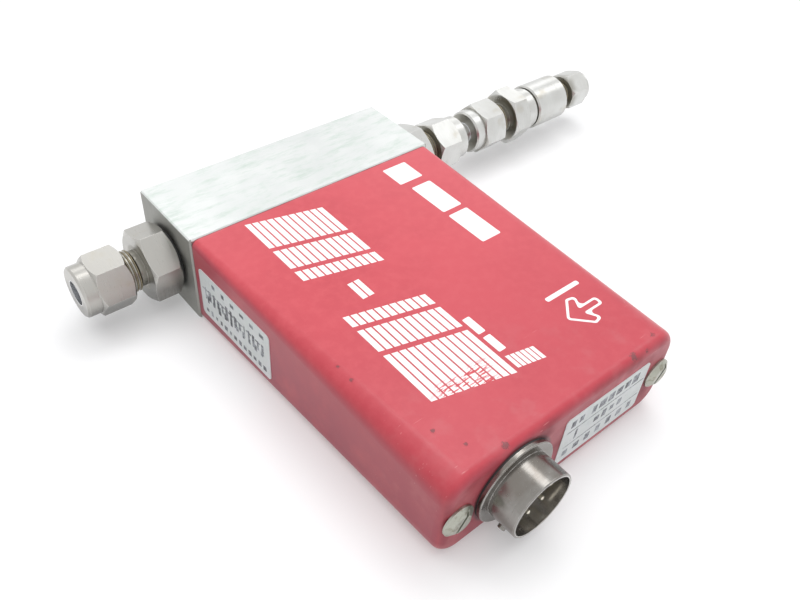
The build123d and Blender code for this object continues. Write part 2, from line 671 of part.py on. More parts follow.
with BuildPart() as connector_pins:
    with BuildSketch(facing_out(PIN_END_Y, CONNECTOR_X)):
        with PolarLocations(PIN_RING_R, PIN_COUNT):
            Circle(PIN_R)
        with GridLocations(2 * PIN_CENTRE_HALF, 1, 2, 1):
            Circle(PIN_R)
    extrude(amount=PIN_END_Y - PIN_TIP_Y)
    chamfer(connector_pins.faces().group_by(Axis.Y)[0].edges(), PIN_CHAMFER)
finish(connector_pins, "connector_pins")

# ---------------------------------------------------------------- fittings and nuts

outlet_fitting = fitting_body(-1, OUTLET_ANGLE)
finish(outlet_fitting, "outlet_fitting")
finish(port_o_ring(-1), "outlet_o_ring")
outlet_open = -INLET_X - NUT_START
finish(tube_nut(outlet_open, -1, QUARTER, OUTLET_NUT_ANGLE), "outlet_nut")
finish(front_ferrule(outlet_open, -1, QUARTER), "outlet_front_ferrule")
finish(back_ferrule(outlet_open, -1, QUARTER), "outlet_back_ferrule")

inlet_fitting = fitting_body(1, INLET_ANGLE)
finish(inlet_fitting, "inlet_fitting")
finish(port_o_ring(1), "inlet_o_ring")
inlet_open = INLET_X + NUT_START
finish(tube_nut(inlet_open, 1, QUARTER, INLET_NUT_ANGLE), "inlet_nut")
finish(front_ferrule(inlet_open, 1, QUARTER), "inlet_front_ferrule")
finish(back_ferrule(inlet_open, 1, QUARTER), "inlet_back_ferrule")

finish(tube_nut(FILTER_NUT_OPEN, -1, QUARTER, FILTER_NUT_ANGLE), "filter_nut")
finish(front_ferrule(FILTER_NUT_OPEN, -1, QUARTER), "filter_front_ferrule")
finish(back_ferrule(FILTER_NUT_OPEN, -1, QUARTER), "filter_back_ferrule")

finish(tube_nut(END_NUT_X, 1, EIGHTH, END_NUT_ANGLE), "end_nut")
finish(front_ferrule(END_NUT_X, 1, EIGHTH), "end_front_ferrule")
finish(back_ferrule(END_NUT_X, 1, EIGHTH), "end_back_ferrule")

link_start = inlet_open + QUARTER.engaged - QUARTER.socket
link_end = FILTER_NUT_OPEN - QUARTER.engaged + QUARTER.socket
with BuildPart() as link_tube:
    with BuildSketch(station(link_start, 1)):
        Circle(QUARTER.tube_r)
        Circle(QUARTER.bore_r, mode=Mode.SUBTRACT)
    extrude(amount=link_end - link_start)
finish(link_tube, "link_tube")

# ---------------------------------------------------------------- filter

with BuildPart() as filter_body:
    hexagon(FILTER_X, 1, FILTER_HEX, FILTER_AF, FILTER_ANGLE)
    turn(half_section(RING_X, 1), [(0, 0), (0, SPIGOT_R), (SPIGOT_LENGTH, SPIGOT_R),
                                   (SPIGOT_LENGTH, 0)])
    threaded_end(FILTER_X, -1, QUARTER, NECK)
    tube_socket(FILTER_X, -1, QUARTER, NECK)
    with BuildSketch(station(FILTER_X - NECK - QUARTER.engaged, 1)):
        Circle(QUARTER.bore_r)
    extrude(amount=NECK + QUARTER.engaged + FILTER_HEX, mode=Mode.SUBTRACT)
    turn(half_section(RING_X, 1), [(0, 0), (0, FILTER_CHAMBER_R), (SPIGOT_LENGTH, FILTER_CHAMBER_R),
                                   (SPIGOT_LENGTH, 0)], mode=Mode.SUBTRACT)
finish(filter_body, "filter_body")

with BuildPart() as filter_seal_ring:
    inner = SPIGOT_R + SLIP_GAP
    body_end = RING_LIP + RING_WIDTH
    turn(half_section(RING_X, 1), [(0, inner), (0, RING_LIP_R), (RING_LIP, RING_LIP_R),
                                   (RING_LIP, RING_R), (body_end, RING_R),
                                   (body_end, RING_LIP_R), (body_end + RING_LIP, RING_LIP_R),
                                   (body_end + RING_LIP, inner)])
finish(filter_seal_ring, "filter_seal_ring")

with BuildPart() as filter_cap:
    spigot_pocket = SPIGOT_LENGTH - (CAP_X - RING_X) + ELEMENT_RIM
    turn(half_section(CAP_X, 1), [(0, 0), (0, CAP_R - CAP_LEFT_CHAMFER), (CAP_LEFT_CHAMFER, CAP_R),
                                  (CAP_LENGTH - CAP_RIGHT_CHAMFER, CAP_R),
                                  (CAP_LENGTH, CAP_R - CAP_RIGHT_CHAMFER), (CAP_LENGTH, 0)])
    threaded_end(CAP_END, 1, EIGHTH, END_NECK)
    tube_socket(CAP_END, 1, EIGHTH, END_NECK)
    with BuildSketch(station(CAP_X, 1)):
        Circle(EIGHTH.bore_r)
    extrude(amount=CAP_LENGTH + END_NECK + EIGHTH.engaged, mode=Mode.SUBTRACT)
    turn(half_section(CAP_X, 1), [(0, 0), (0, SPIGOT_R + THREAD_GAP),
                                  (spigot_pocket, SPIGOT_R + THREAD_GAP),
                                  (spigot_pocket, 0)], mode=Mode.SUBTRACT)
finish(filter_cap, "filter_cap")

with BuildPart() as filter_element:
    cup_end = RING_X + SPIGOT_LENGTH
    turn(half_section(cup_end, -1), [(-ELEMENT_RIM, ELEMENT_R - ELEMENT_WALL),
                                     (-ELEMENT_RIM, SPIGOT_R), (0, SPIGOT_R), (0, ELEMENT_R),
                                     (ELEMENT_LENGTH, ELEMENT_R), (ELEMENT_LENGTH, 0),
                                     (ELEMENT_LENGTH - ELEMENT_WALL, 0),
                                     (ELEMENT_LENGTH - ELEMENT_WALL, ELEMENT_R - ELEMENT_WALL)])
finish(filter_element, "filter_element")

# ---------------------------------------------------------------- flow bypass

with BuildPart() as flow_bypass:
    half = BYPASS_LENGTH / 2
    bypass_r = BYPASS_R - SLIP_GAP
    turn(half_section(SENSOR_X, 1), [(-half - BYPASS_NOSE, 0), (-half, bypass_r), (half, bypass_r),
                                     (half + BYPASS_NOSE, 0)])
    with BuildSketch(station(SENSOR_X - half - BYPASS_NOSE, 1)):
        with PolarLocations(BYPASS_R, FLUTES):
            Circle(FLUTE_DEPTH)
    extrude(amount=BYPASS_LENGTH + 2 * BYPASS_NOSE, mode=Mode.SUBTRACT)
finish(flow_bypass, "flow_bypass")

# ---------------------------------------------------------------- flow sensor

with BuildPart() as sensor_base:
    with BuildSketch(facing_out(COVER_Y, SENSOR_X, SENSOR_Z)):
        Rectangle(2 * SENSOR_BASE_HALF, SENSOR_BASE_Z)
        with GridLocations(2 * SENSOR_SCREW_HALF, 1, 2, 1):
            Circle(CAP_SCREW_R + THREAD_GAP, mode=Mode.SUBTRACT)
        with GridLocations(2 * SENSOR_TAP_HALF, 1, 2, 1):
            Circle(SENSOR_TUBE_R + SLIP_GAP, mode=Mode.SUBTRACT)
    extrude(amount=SENSOR_BASE_H)
    with BuildSketch(facing_out(COVER_Y, SENSOR_X, SENSOR_Z)):
        with GridLocations(2 * SENSOR_TAP_HALF, 1, 2, 1):
            Circle(SMALL_RING_R + SLIP_GAP)
    extrude(amount=SMALL_RING_H, mode=Mode.SUBTRACT)
finish(sensor_base, "sensor_base")

with BuildPart() as sensor_o_rings:
    for tap in (-SENSOR_TAP_HALF, SENSOR_TAP_HALF):
        turn(upright(SENSOR_X + tap, COVER_Y, SENSOR_Z),
             [(0, SMALL_RING_BORE_R), (0, SMALL_RING_R - O_RING_ROUND),
              (O_RING_ROUND, SMALL_RING_R), (SMALL_RING_H - O_RING_ROUND, SMALL_RING_R),
              (SMALL_RING_H, SMALL_RING_R - O_RING_ROUND),
              (SMALL_RING_H, SMALL_RING_BORE_R)])
finish(sensor_o_rings, "sensor_o_rings")

with BuildPart() as sensor_tube:
    tube_top = COVER_Y - SENSOR_TUBE_RISE
    with BuildLine() as tube_path:
        FilletPolyline((SENSOR_X - SENSOR_TAP_HALF, COVER_Y, SENSOR_Z),
                       (SENSOR_X - SENSOR_TAP_HALF, tube_top, SENSOR_Z),
                       (SENSOR_X + SENSOR_TAP_HALF, tube_top, SENSOR_Z),
                       (SENSOR_X + SENSOR_TAP_HALF, COVER_Y, SENSOR_Z), radius=SENSOR_TUBE_BEND)
    with BuildSketch(facing_out(COVER_Y, SENSOR_X - SENSOR_TAP_HALF, SENSOR_Z)):
        Circle(SENSOR_TUBE_R)
        Circle(SENSOR_TUBE_BORE_R, mode=Mode.SUBTRACT)
    sweep(path=tube_path.wires()[0])
finish(sensor_tube, "sensor_tube")

with BuildPart() as sensor_windings:
    for winding in (-WINDING_SPACING / 2, WINDING_SPACING / 2):
        start = SENSOR_X + winding - WINDING_LENGTH / 2
        with BuildSketch(Plane(origin=(start, tube_top, SENSOR_Z), x_dir=(0, 1, 0), z_dir=OUT)):
            Circle(WINDING_R)
            Circle(SENSOR_TUBE_R + SLIP_GAP, mode=Mode.SUBTRACT)
        extrude(amount=WINDING_LENGTH)
finish(sensor_windings, "sensor_windings")

with BuildPart() as sensor_housing:
    with BuildSketch(facing_out(SENSOR_BASE_TOP, SENSOR_X, SENSOR_Z)):
        RectangleRounded(2 * SENSOR_HOUSING_HALF, SENSOR_HOUSING_Z,
                         SENSOR_HOUSING_CORNER)
    extrude(amount=SENSOR_HOUSING_H)
    with BuildSketch(facing_out(SENSOR_BASE_TOP, SENSOR_X, SENSOR_Z)):
        Rectangle(2 * (SENSOR_HOUSING_HALF - SENSOR_HOUSING_WALL),
                  SENSOR_HOUSING_Z - 2 * SENSOR_HOUSING_WALL)
    extrude(amount=SENSOR_HOUSING_H - SENSOR_HOUSING_WALL, mode=Mode.SUBTRACT)
finish(sensor_housing, "sensor_housing")


def cap_screws(places, seat_y):
    """Screws through a flange into the block; seat_y is the flange's outer face."""
    end = seat_y - COVER_Y - CAP_SCREW_GRIP + THREAD_GAP
    with BuildPart() as screws:
        for x, z in places:
            turn(upright(x, seat_y, z), [(end, 0), (end, CAP_SCREW_R), (0, CAP_SCREW_R),
                                         (0, CAP_SCREW_HEAD_R),
                                         (CAP_SCREW_HEAD_H, CAP_SCREW_HEAD_R),
                                         (CAP_SCREW_HEAD_H, 0)])
        with BuildSketch(facing_out(seat_y - CAP_SCREW_HEAD_H)):
            with Locations(*places):
                RegularPolygon(CAP_SCREW_HEAD_R / 2, 6, major_radius=False)
        extrude(amount=-CAP_SCREW_HEAD_H / 2, mode=Mode.SUBTRACT)
    return screws


finish(cap_screws([(SENSOR_X - SENSOR_SCREW_HALF, SENSOR_Z),
                   (SENSOR_X + SENSOR_SCREW_HALF, SENSOR_Z)], SENSOR_BASE_TOP), "sensor_screws")

# ---------------------------------------------------------------- control valve

with BuildPart() as valve_seat:
    turn(upright(VALVE_X, SEAT_TOP, 0), [(0, ORIFICE_R), (0, SEAT_R), (-SEAT_H, SEAT_R),
                                         (-SEAT_H, PASSAGE_R), (-SEAT_H / 2, ORIFICE_R)])
finish(valve_seat, "valve_seat")

with BuildPart() as valve_ball:
    with Locations((VALVE_X, BALL_Y, 0)):
        Sphere(BALL_R)
finish(valve_ball, "valve_ball")

with BuildPart() as valve_stem:
    stem_start = BALL_Y - BALL_R
    with BuildSketch(facing_out(stem_start, VALVE_X)):
        Circle(STEM_R)
    extrude(amount=stem_start - VALVE_CAP_PLUG_Y + STEM_GRIP)
finish(valve_stem, "valve_stem")

with BuildPart() as valve_housing:
    with BuildSketch(facing_out(COVER_Y, VALVE_X)):
        RectangleRounded(VALVE_FLANGE_X, VALVE_FLANGE_Z, VALVE_FLANGE_CORNER)
        with GridLocations(2 * VALVE_SCREW_DX, 2 * VALVE_SCREW_DZ, 2, 2):
            Circle(CAP_SCREW_R + THREAD_GAP, mode=Mode.SUBTRACT)
    extrude(amount=VALVE_FLANGE_H)
    turn(upright(VALVE_X, COVER_Y, 0), [(-VALVE_SPIGOT, 0), (-VALVE_SPIGOT, CHAMBER_R - THREAD_GAP),
                                        (0, CHAMBER_R - THREAD_GAP), (VALVE_FLANGE_H, ACTUATOR_R),
                                        (VALVE_FLANGE_H + ACTUATOR_LENGTH, ACTUATOR_R),
                                        (VALVE_FLANGE_H + ACTUATOR_LENGTH, 0)])
    floor = VALVE_FLANGE_H / 2
    inner_r = ACTUATOR_R - ACTUATOR_WALL
    tube_hole_r = VALVE_TUBE_R + THREAD_GAP
    turn(upright(VALVE_X, COVER_Y, 0), [(-VALVE_SPIGOT, 0), (-VALVE_SPIGOT, tube_hole_r),
                                        (floor, tube_hole_r), (floor, inner_r),
                                        (VALVE_FLANGE_H + ACTUATOR_LENGTH, inner_r),
                                        (VALVE_FLANGE_H + ACTUATOR_LENGTH, 0)],
         mode=Mode.SUBTRACT)
finish(valve_housing, "valve_housing")

with BuildPart() as valve_o_ring:
    turn(upright(VALVE_X, COVER_Y, 0), [(0, CHAMBER_R), (0, VALVE_RING_R - O_RING_ROUND),
                                        (-O_RING_ROUND, VALVE_RING_R),
                                        (O_RING_ROUND - VALVE_RING_H, VALVE_RING_R),
                                        (-VALVE_RING_H, VALVE_RING_R - O_RING_ROUND),
                                        (-VALVE_RING_H, CHAMBER_R)])
finish(valve_o_ring, "valve_o_ring")

with BuildPart() as valve_tube:
    with BuildSketch(facing_out(VALVE_TUBE_Y, VALVE_X)):
        Circle(VALVE_TUBE_R)
        Circle(VALVE_TUBE_R - VALVE_TUBE_WALL, mode=Mode.SUBTRACT)
    extrude(amount=VALVE_TUBE_Y - VALVE_CAP_PLUG_Y)
finish(valve_tube, "valve_tube")

with BuildPart() as valve_heater:
    with BuildSketch(facing_out(COVER_Y - VALVE_FLANGE_H / 2 - HEATER_START, VALVE_X)):
        Circle(HEATER_R)
        Circle(VALVE_TUBE_R + SLIP_GAP, mode=Mode.SUBTRACT)
    extrude(amount=HEATER_LENGTH)
finish(valve_heater, "valve_heater")

with BuildPart() as valve_cap:
    turn(upright(VALVE_X, ACTUATOR_END, 0),
         [(-VALVE_CAP_PLUG, STEM_R + SLIP_GAP), (-VALVE_CAP_PLUG, inner_r - SLIP_GAP),
          (0, inner_r - SLIP_GAP), (0, ACTUATOR_R), (VALVE_CAP_H, ACTUATOR_R),
          (VALVE_CAP_H, 0), (STEM_GRIP - VALVE_CAP_PLUG, 0),
          (STEM_GRIP - VALVE_CAP_PLUG, STEM_R + SLIP_GAP)])
finish(valve_cap, "valve_cap")

finish(cap_screws([(VALVE_X + dx, dz) for dx in (-VALVE_SCREW_DX, VALVE_SCREW_DX)
                   for dz in (-VALVE_SCREW_DZ, VALVE_SCREW_DZ)], ACTUATOR_Y), "valve_screws")

# ---------------------------------------------------------------- boards

board_middle = (BOARD_Y + BOARD_END_Y) / 2

with BuildPart() as main_board:
    with BuildSketch(Plane.XY.offset(BOARD_Z)):
        with Locations((0, board_middle)):
            RectangleRounded(2 * BOARD_HALF, BOARD_LENGTH, BOARD_CORNER)
        with Locations((0, SPACER_MIDDLE)):
            with GridLocations(2 * POST_X, SPACER_PITCH, 2, 2):
                Circle(BOARD_SCREW_R + THREAD_GAP, mode=Mode.SUBTRACT)
    extrude(amount=BOARD_THICK)
finish(main_board, "main_board")

with BuildPart() as board_spacers:
    with BuildSketch(Plane.XY.offset(POST_SIZE / 2)):
        with Locations((0, SPACER_MIDDLE)):
            with GridLocations(2 * POST_X, SPACER_PITCH, 2, 2):
                Circle(SPACER_R)
                Circle(BOARD_SCREW_R + THREAD_GAP, mode=Mode.SUBTRACT)
    extrude(amount=BOARD_Z - POST_SIZE / 2)
finish(board_spacers, "board_spacers")

with BuildPart() as board_screws:
    with BuildSketch(Plane.XY.offset(BOARD_TOP)):
        with Locations((0, SPACER_MIDDLE)):
            with GridLocations(2 * POST_X, SPACER_PITCH, 2, 2):
                Circle(BOARD_SCREW_HEAD_R)
    extrude(amount=BOARD_SCREW_HEAD_H)
    with BuildSketch(Plane.XY.offset(BOARD_TOP)):
        with Locations((0, SPACER_MIDDLE)):
            with GridLocations(2 * POST_X, SPACER_PITCH, 2, 2):
                Circle(BOARD_SCREW_R)
    extrude(amount=POST_SIZE / 2 - BOARD_SCREW_GRIP + THREAD_GAP - BOARD_TOP)
finish(board_screws, "board_screws")

with BuildPart() as board_chips:
    with BuildSketch(Plane.XY.offset(BOARD_TOP)):
        with Locations((0, COVER_Y - CHIP_CENTRE)):
            with GridLocations(CHIP_GRID_X, CHIP_GRID_Y, 3, 2):
                Rectangle(CHIP_X, CHIP_Y)
    extrude(amount=CHIP_H)
finish(board_chips, "board_chips")

with BuildPart() as board_resistors:
    with BuildSketch(Plane.XY.offset(BOARD_TOP)):
        with Locations((0, BOARD_END_Y + RESISTOR_FROM_END)):
            with GridLocations(RESISTOR_GRID_X, RESISTOR_GRID_Y, 6, 2):
                Rectangle(RESISTOR_X, RESISTOR_Y)
    extrude(amount=RESISTOR_H)
finish(board_resistors, "board_resistors")

with BuildPart() as board_capacitors:
    with BuildSketch(Plane.XY.offset(BOARD_Z)):
        with Locations((CAPACITOR_X, BOARD_END_Y + CAPACITOR_FROM_END)):
            with GridLocations(CAPACITOR_SPACING, 1, 2, 1):
                Circle(CAPACITOR_R)
    extrude(amount=-CAPACITOR_H)
finish(board_capacitors, "board_capacitors")

with BuildPart() as trim_pots:
    with BuildSketch(Plane.XY.offset(BOARD_Z)):
        with Locations((BOARD_HALF - TRIM_INSET, BOARD_END_Y + TRIM_FROM_END)):
            with GridLocations(TRIM_SPACING, 1, 3, 1):
                Rectangle(TRIM_X, TRIM_Y)
    extrude(amount=-TRIM_H)
finish(trim_pots, "trim_pots")

with BuildPart() as connector_board:
    drop_middle = BOARD_Z - TAIL_BOARD_DROP / 2
    with BuildSketch(facing_out(TAIL_BOARD_Y, CONNECTOR_X)):
        with Locations((0, drop_middle)):
            Rectangle(2 * TAIL_BOARD_HALF, TAIL_BOARD_DROP)
        with PolarLocations(PIN_RING_R, PIN_COUNT):
            Circle(PIN_R + SLIP_GAP, mode=Mode.SUBTRACT)
        with GridLocations(2 * PIN_CENTRE_HALF, 1, 2, 1):
            Circle(PIN_R + SLIP_GAP, mode=Mode.SUBTRACT)
    extrude(amount=-TAIL_BOARD_THICK)
finish(connector_board, "connector_board")

with BuildPart() as link_header:
    header_y = TAIL_BOARD_Y + TAIL_BOARD_THICK
    with BuildSketch(Plane(origin=(CONNECTOR_X - HEADER_HALF, header_y, BOARD_Z), z_dir=OUT,
                           x_dir=(0, 1, 0))):
        with Locations((HEADER_SIDE / 2, -HEADER_SIDE / 2)):
            Rectangle(HEADER_SIDE, HEADER_SIDE)
    extrude(amount=2 * HEADER_HALF)
finish(link_header, "link_header")


def leads(centre_x, count, spacing, start_y, start_z):
    """Stiff leads that leave along -Y and turn up to the underside of the board."""
    with BuildPart() as wires:
        for place in range(count):
            x = centre_x + (place - (count - 1) / 2) * spacing
            corner = (x, start_y - LEAD_REACH, start_z)
            with BuildLine() as path:
                FilletPolyline((x, start_y, start_z), corner, (x, start_y - LEAD_REACH, BOARD_Z),
                               radius=LEAD_BEND)
            with BuildSketch(facing_out(start_y, x, start_z)):
                Circle(LEAD_R)
            sweep(path=path.wires()[0])
    return wires


finish(leads(SENSOR_X, 4, SENSOR_LEAD_SPACING, SENSOR_TOP, SENSOR_Z), "sensor_leads")
finish(leads(VALVE_X, 2, VALVE_LEAD_SPACING, ACTUATOR_END - VALVE_CAP_H, 0), "valve_leads")
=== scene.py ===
"""Dresses the mass flow controller: finishes, printing, threads, wear, light and camera."""
import functools
import json
import math

import bmesh
import bpy
from mathutils import Matrix, Vector


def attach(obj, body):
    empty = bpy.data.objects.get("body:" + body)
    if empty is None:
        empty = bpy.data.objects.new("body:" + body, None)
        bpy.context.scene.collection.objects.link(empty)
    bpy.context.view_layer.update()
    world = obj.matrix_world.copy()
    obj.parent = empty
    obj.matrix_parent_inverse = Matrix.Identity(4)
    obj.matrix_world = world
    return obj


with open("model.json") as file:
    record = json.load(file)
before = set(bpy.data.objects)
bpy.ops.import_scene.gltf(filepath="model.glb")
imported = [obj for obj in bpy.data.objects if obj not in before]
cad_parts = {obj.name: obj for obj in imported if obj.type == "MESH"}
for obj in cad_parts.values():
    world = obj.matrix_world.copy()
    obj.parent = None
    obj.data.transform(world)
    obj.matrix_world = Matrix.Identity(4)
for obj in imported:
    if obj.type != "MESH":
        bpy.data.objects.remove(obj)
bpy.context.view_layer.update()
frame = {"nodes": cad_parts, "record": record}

scene = bpy.context.scene
scene.view_settings.view_transform = "Standard"


# ---------------------------------------------------------------- measures

MM = 0.001

# places on the object that finishes and printing are set out from
FLOW_Y = -12.4 * MM      # the flow axis: y of every fitting's centre
COVER_Y = -25.4 * MM     # where the cover meets the base block
END_Y = -115.2 * MM      # the cover's connector end
TOP_Z = 12.8 * MM        # cover's top face at the block
TOP_DROP = 0.5 / 89.8    # how much that face drops toward the connector end
SIDE_X = -37.7 * MM      # cover's outlet side at the block
SIDE_DRIFT = 1.7 / 89.8  # how much that side draws in toward the connector end
CONNECTOR_X = -16.35 * MM
FITTING_BORE_R = 3.3     # millimetres, as is the next
SHELL_BORE_R = 7.9

# the film and painted shade in the necks between the nuts: distances from the flow axis where they
# are full and gone
NECK_FILM_AND_SHADE = (5.6 * MM, 6.3 * MM)
FACE_FILM_AND_SHADE = (7.2 * MM, 8.0 * MM)     # the same on the turned faces beside them
BLOCK_CLEAR = (42 * MM, 46 * MM)     # how far from the block's middle it is gone and full
INLET_FACES = (44 * MM, 50 * MM)     # x where the film and painted shade on turned faces are gone and full
OUTLET_END = (-57 * MM, -52 * MM)    # x where it is gone and full toward the outlet's end
INLET_END = (118 * MM, 114.5 * MM)   # and toward the inlet's

# how far a texture is drawn out along X, Y and Z
NO_GRAIN = (1, 1, 1)
ALONG_X = (30, 1, 1)     # ground along the flow axis
ROUND_X = (1, 30, 30)    # turned about the flow axis
ROUND_Y = (30, 1, 30)    # turned about the connector's axis

BEVEL_SAMPLES = 6
SHARP_EDGE_R = 0.30 * MM     # an edge of bare metal counts as worn within this
EDGE_STARTS = 0.995          # cosine between rounded and plain normal where wear starts
EDGE_FULL = 0.86             # and where it is full


# ---------------------------------------------------------------- shader maths

class Value:
    """A node's socket that takes part in Python expressions."""

    def __init__(self, bench, socket):
        self.bench = bench
        self.socket = socket

    def maths(self, operation, *operands):
        return self.bench.node("ShaderNodeMath", {"operation": operation}, operands)

    def __add__(self, other):
        return self.maths("ADD", self, other)

    __radd__ = __add__

    def __sub__(self, other):
        return self.maths("SUBTRACT", self, other)

    def __rsub__(self, other):
        return self.maths("SUBTRACT", other, self)

    def __mul__(self, other):
        return self.maths("MULTIPLY", self, other)

    __rmul__ = __mul__

    def __pow__(self, other):
        return self.maths("POWER", self, other)

    def absolute(self):
        return self.maths("ABSOLUTE", self)

    def largest(self, other):
        return self.maths("MAXIMUM", self, other)

    def between(self, low, high):
        """0 at low, 1 at high, smooth in between; low may be the larger."""
        return self.bench.node("ShaderNodeMapRange", {"interpolation_type": "SMOOTHSTEP"},
                                {"Value": self, "From Min": low, "From Max": high})


class Bench:
    """A node tree, and the one way that nodes are put into it."""

    def __init__(self, tree):
        self.tree = tree

    def node(self, kind, settings, sockets, output=0):
        """Add a node with these settings and socket values or links, and return one output."""
        made = self.tree.nodes.new(kind)
        for key, value in settings.items():
            setattr(made, key, value)
        named = sockets.items() if isinstance(sockets, dict) else enumerate(sockets)
        for key, value in named:
            if isinstance(value, Value):
                self.tree.links.new(value.socket, made.inputs[key])
            else:
                made.inputs[key].default_value = value
        return None if output is None else Value(self, made.outputs[output])


class Finish(Bench):
    """One material: a Principled shader and what drives it."""

    def __init__(self, name):
        self.material = bpy.data.materials.new(name)
        self.material.use_nodes = True
        super().__init__(self.material.node_tree)
        self.tree.nodes.clear()
        self.output = self.tree.nodes.new("ShaderNodeOutputMaterial")
        self.shader = self.tree.nodes.new("ShaderNodeBsdfPrincipled")
        self.tree.links.new(self.shader.outputs[0], self.output.inputs["Surface"])
        self.place = self.node("ShaderNodeTexCoord", {}, {}, "Object")
        self.x, self.y, self.z = (self.node("ShaderNodeSeparateXYZ", {}, [self.place], axis)
                                  for axis in "XYZ")

    def clouds(self, size, detail=3.0, rough=0.55, stretch=(1, 1, 1), shift=0.0):
        """Noise from 0 to 1 whose features are about size metres across."""
        place = self.node("ShaderNodeMapping", {}, {
            "Vector": self.place, "Location": (shift, shift * 0.7, -shift),
            "Scale": tuple(1 / (size * part) for part in stretch)})
        return self.node("ShaderNodeTexNoise", {}, {"Vector": place, "Scale": 1.0, "Detail": detail,
                                                    "Roughness": rough}, "Fac")

    def spot(self, centre, radius, ragged, seed=0.0):
        """1 inside a ragged spot round centre, 0 outside; millimetres."""
        distance = self.node("ShaderNodeVectorMath", {"operation": "DISTANCE"},
                             {0: self.place, 1: tuple(part * MM for part in centre)}, "Value")
        edge = self.clouds(radius * MM * 0.55, rough=0.7, shift=seed) - 0.5
        return (distance + edge * (radius * MM * ragged * 4)).between(radius * MM * 1.2,
                                                                     radius * MM * 0.7)

    def spots(self, table, ragged):
        """1 inside any spot of a table of (centre, radius, seed)."""
        return functools.reduce(Value.largest, [self.spot(centre, radius, ragged, seed)
                                                for centre, radius, seed in table])

    def blend(self, mask, first, second, mode="MIX"):
        """Colour between first and second by mask."""
        return self.node("ShaderNodeMix", {"data_type": "RGBA", "blend_type": mode},
                         {"Factor": mask, 6: colour(first), 7: colour(second)}, 2)

    def two_tone(self, size, first, second):
        """Colour that drifts from first to second in clouds of that size."""
        return self.blend(self.clouds(size).between(0.3, 0.7), first, second)

    def layered(self, base, *layers):
        """Colour base, with each layer of (mask, colour) laid over it in turn."""
        for mask, over in layers:
            base = self.blend(mask, base, over)
        return base

    def from_axis(self, across, centre):
        """Distance from an axis at height 0 that lies at centre along the axis across."""
        return ((across - centre) ** 2 + self.z ** 2) ** 0.5

    def worn_edge(self, radius):
        """1 along sharp edges and 0 on open faces."""
        softened = self.node("ShaderNodeBevel", {"samples": BEVEL_SAMPLES}, {"Radius": radius})
        plain = self.node("ShaderNodeNewGeometry", {}, {}, "Normal")
        facing = self.node("ShaderNodeVectorMath", {"operation": "DOT_PRODUCT"},
                           {0: softened, 1: plain}, "Value")
        return facing.between(EDGE_STARTS, EDGE_FULL)

    def recess_film_and_shade(self):
        """Where film and painted shade lie: 1 in the necks between the nuts and on the turned faces
        beside them, 0 elsewhere.
        """
        out = self.z ** 2 + (self.y - FLOW_Y) ** 2
        deep = out.between(NECK_FILM_AND_SHADE[1] ** 2, NECK_FILM_AND_SHADE[0] ** 2)
        facing = self.node("ShaderNodeNewGeometry", {}, {}, "Normal")
        across = self.node("ShaderNodeSeparateXYZ", {}, [facing], "X").absolute().between(0.6, 0.9)
        turned = across * out.between(FACE_FILM_AND_SHADE[1] ** 2, FACE_FILM_AND_SHADE[0] ** 2)
        past_block = self.x.absolute().between(*BLOCK_CLEAR)
        short_of_ends = self.x.between(*INLET_END) * self.x.between(*OUTLET_END)
        film = deep.largest(turned * self.x.between(*INLET_FACES))
        return film * (past_block * short_of_ends)

    def set(self, **values):
        """Drive the Principled shader's sockets."""
        for key, value in values.items():
            socket = self.shader.inputs[key.replace("_", " ")]
            if isinstance(value, Value):
                self.tree.links.new(value.socket, socket)
            else:
                socket.default_value = value
        return self

    def relief(self, height, depth, soften=0.0):
        """Bump by height (0 to 1) times depth metres, over edges softened by a radius."""
        sockets = {"Height": height, "Distance": depth, "Strength": 1.0}
        if soften:
            sockets["Normal"] = self.node("ShaderNodeBevel", {"samples": BEVEL_SAMPLES},
                                          {"Radius": soften})
        return self.set(Normal=self.node("ShaderNodeBump", {}, sockets))


def colour(value):
    """A colour as a socket wants it."""
    return value if isinstance(value, Value) else (*value, 1)


def darker(tint, share, cast=(1, 1, 1)):
    """tint times share, with a cast of colour."""
    return tuple(part * share * tone for part, tone in zip(tint, cast))


# ---------------------------------------------------------------- finishes

# nicks in the paint, mostly near the connector end: (centre, radius, seed) in millimetres
CHIPS = (((-25.6, -108.8, 12.3), 0.400, 0.2), ((-19.5, -113.6, 12.0), 0.750, 0.9),
         ((-28.6, -102.6, 12.4), 0.450, 2.2), ((-33.4, -82.7, 12.4), 0.4125, 3.4),
         ((-33.4, -78.2, 12.4), 0.3375, 4.1), ((-30.2, -110.4, 11.9), 0.300, 4.9),
         ((20.4, -114.0, 11.6), 0.975, 5.7), ((28.8, -112.6, 11.8), 0.675, 6.6),
         ((24.5, -114.4, 11.2), 0.525, 7.3))


